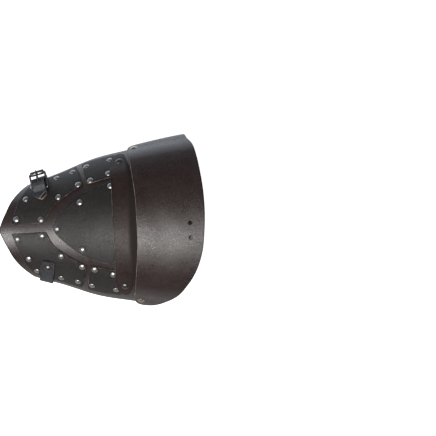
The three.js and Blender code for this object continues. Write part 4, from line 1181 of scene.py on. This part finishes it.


# Roller buckle: a bent and welded wire frame with a loose roller on its outer bar and a prong
# whose eye is curled round the inner bar. Blackened nickel, dulled in patches.
frame_width, wire_width, frame_corner = 25.0, 2.7, 3.5
roller_wall, roller_end_gap, roller_sides = 1.1, 0.4, 32
prong_width, prong_thickness, prong_reach, prong_rest = 3.0, 2.0, 3.4, 0.3
prong_point_thickness, prong_eye_gap, prong_rows = 1.4, 0.75, 90
roller_radius = loop_inner + roller_wall
buckle_metal = plated_metal("buckle_metal", (0.22, 0.215, 0.21), (0.02, 0.019, 0.018), 0.24)


def drawn_bar(name, line, flat_way, wide, thick, material, closed, sides=16):
    """Rounded section carried along a line: wide along the flat way and thick square to it, a
    superellipse. A closed line joins end to end, an open one is closed with a fan."""
    if closed:
        run = np.roll(line, -1, axis=0) - np.roll(line, 1, axis=0)
    else:
        run = np.gradient(line, axis=0)
    run = unit(run)
    other = unit(np.cross(run, flat_way))
    angle = circle(sides)
    c, s = np.cos(angle), np.sin(angle)
    reach = (np.abs(c) ** 3 + np.abs(s) ** 3) ** (-1 / 3)
    points = (line[:, None] + (wide[:, None] * (c * reach) / 2)[..., None] * np.cross(other, run)[:, None]
              + (thick[:, None] * (s * reach) / 2)[..., None] * other[:, None])
    index = np.arange(len(line) * sides).reshape(len(line), sides)
    after = np.roll(index, -1, axis=1)
    if closed:
        index, after = np.concatenate([index, index[:1]]), np.concatenate([after, after[:1]])
    faces, points = [faces_of(index[:-1], after[:-1], after[1:], index[1:])], points.reshape(-1, 3)
    if not closed:
        count = len(points)
        points = np.concatenate([points, line[[0, -1]]])
        faces.append(faces_of(np.full(sides, count), after[0], index[0]))
        faces.append(faces_of(np.full(sides, count + 1), index[-1], after[-1]))
    return new_piece(name, in_frame(in_buckle(points)), faces, [0] * len(faces), [material])


def rounded_loop(half_along, low, high, radius, steps=8):
    """Closed rectangle with round corners, in the plane of the frame."""
    turn = np.linspace(0, np.pi / 2, steps)
    corners = [(half_along - radius, high - radius, 0), (radius - half_along, high - radius, 1),
               (radius - half_along, low + radius, 2), (half_along - radius, low + radius, 3)]
    parts = [np.stack([x + radius * np.cos(turn + quarter * np.pi / 2),
                       y + radius * np.sin(turn + quarter * np.pi / 2), 0 * turn], axis=1)
             for x, y, quarter in corners]
    return np.concatenate(parts)


loop = rounded_loop((frame_width - wire_width) / 2, 0.0, bar_span, frame_corner - wire_width / 2)
buckle_frame = drawn_bar(
    "buckle_frame_wire", loop, np.array([0.0, 0.0, 1.0]), np.full(len(loop), frame_thickness),
    np.full(len(loop), wire_width), buckle_metal, closed=True)

half_roller = frame_width / 2 - wire_width - roller_end_gap
roller_rows = np.array([
    (loop_inner, 0.6 - half_roller), (loop_inner + 0.2, -half_roller), (roller_radius - 0.4, -half_roller),
    (roller_radius, 0.5 - half_roller), (roller_radius, half_roller - 0.5),
    (roller_radius - 0.4, half_roller), (loop_inner + 0.2, half_roller), (loop_inner, half_roller - 0.6),
])
turn = circle(roller_sides)[:, None]
roller_points = np.stack([
    roller_rows[:, 1] + 0 * turn,
    bar_span + roller_rows[:, 0] * np.cos(turn),
    roller_rows[:, 0] * np.sin(turn),
], axis=-1)
index = np.arange(roller_points.shape[0] * roller_points.shape[1]).reshape(roller_points.shape[:2])
after, beside = np.roll(index, -1, axis=0), np.roll(index, -1, axis=1)
buckle_roller = new_piece(
    "buckle_roller_tube", in_frame(in_buckle(roller_points.reshape(-1, 3))),
    [faces_of(index, beside, np.roll(after, -1, axis=1), after)], [0], [buckle_metal])

prong_level = roller_radius + prong_rest + prong_thickness / 2
turn = np.radians(np.linspace(90, 385, 20))
eye_radius = loop_inner + prong_eye_gap
prong_line = np.concatenate([
    np.array([(bar_span + prong_reach, prong_level - 0.35), (bar_span + prong_reach - 1.4, prong_level),
              (bar_span, prong_level), (bar_span * 0.7, prong_level), (bar_span * 0.45, prong_level - 0.05),
              (bar_span * 0.28, prong_level - 0.3), (bar_span * 0.13, prong_level - 0.95)]),
    eye_radius * np.stack([np.cos(turn), np.sin(turn)], axis=1)])
prong_line = smooth_rows(prong_line, prong_rows)
prong_line = np.stack([0 * prong_line[:, 0], prong_line[:, 0], prong_line[:, 1]], axis=1)
share = np.linspace(0, 1, prong_rows)
prong_wide = prong_width * (0.62 + 0.38 * soft_step(share, 0.0, 0.16))
prong_wide = prong_wide * (0.55 + 0.45 * soft_step(share, -0.012, 0.02))
prong_thick = prong_point_thickness + (prong_thickness - prong_point_thickness) * soft_step(
    share, 0.0, 0.1)
prong_thick = prong_thick * (1 - 0.3 * soft_step(share, 0.45, 0.6))
buckle_prong = drawn_bar(
    "buckle_prong_wire", prong_line, np.array([1.0, 0.0, 0.0]), prong_wide, prong_thick, buckle_metal,
    closed=False)
for piece, node in ((buckle_frame, "buckle_frame"), (buckle_roller, "buckle_roller"),
                    (buckle_prong, "buckle_prong")):
    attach(piece, "arm_plate")
    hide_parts(node)
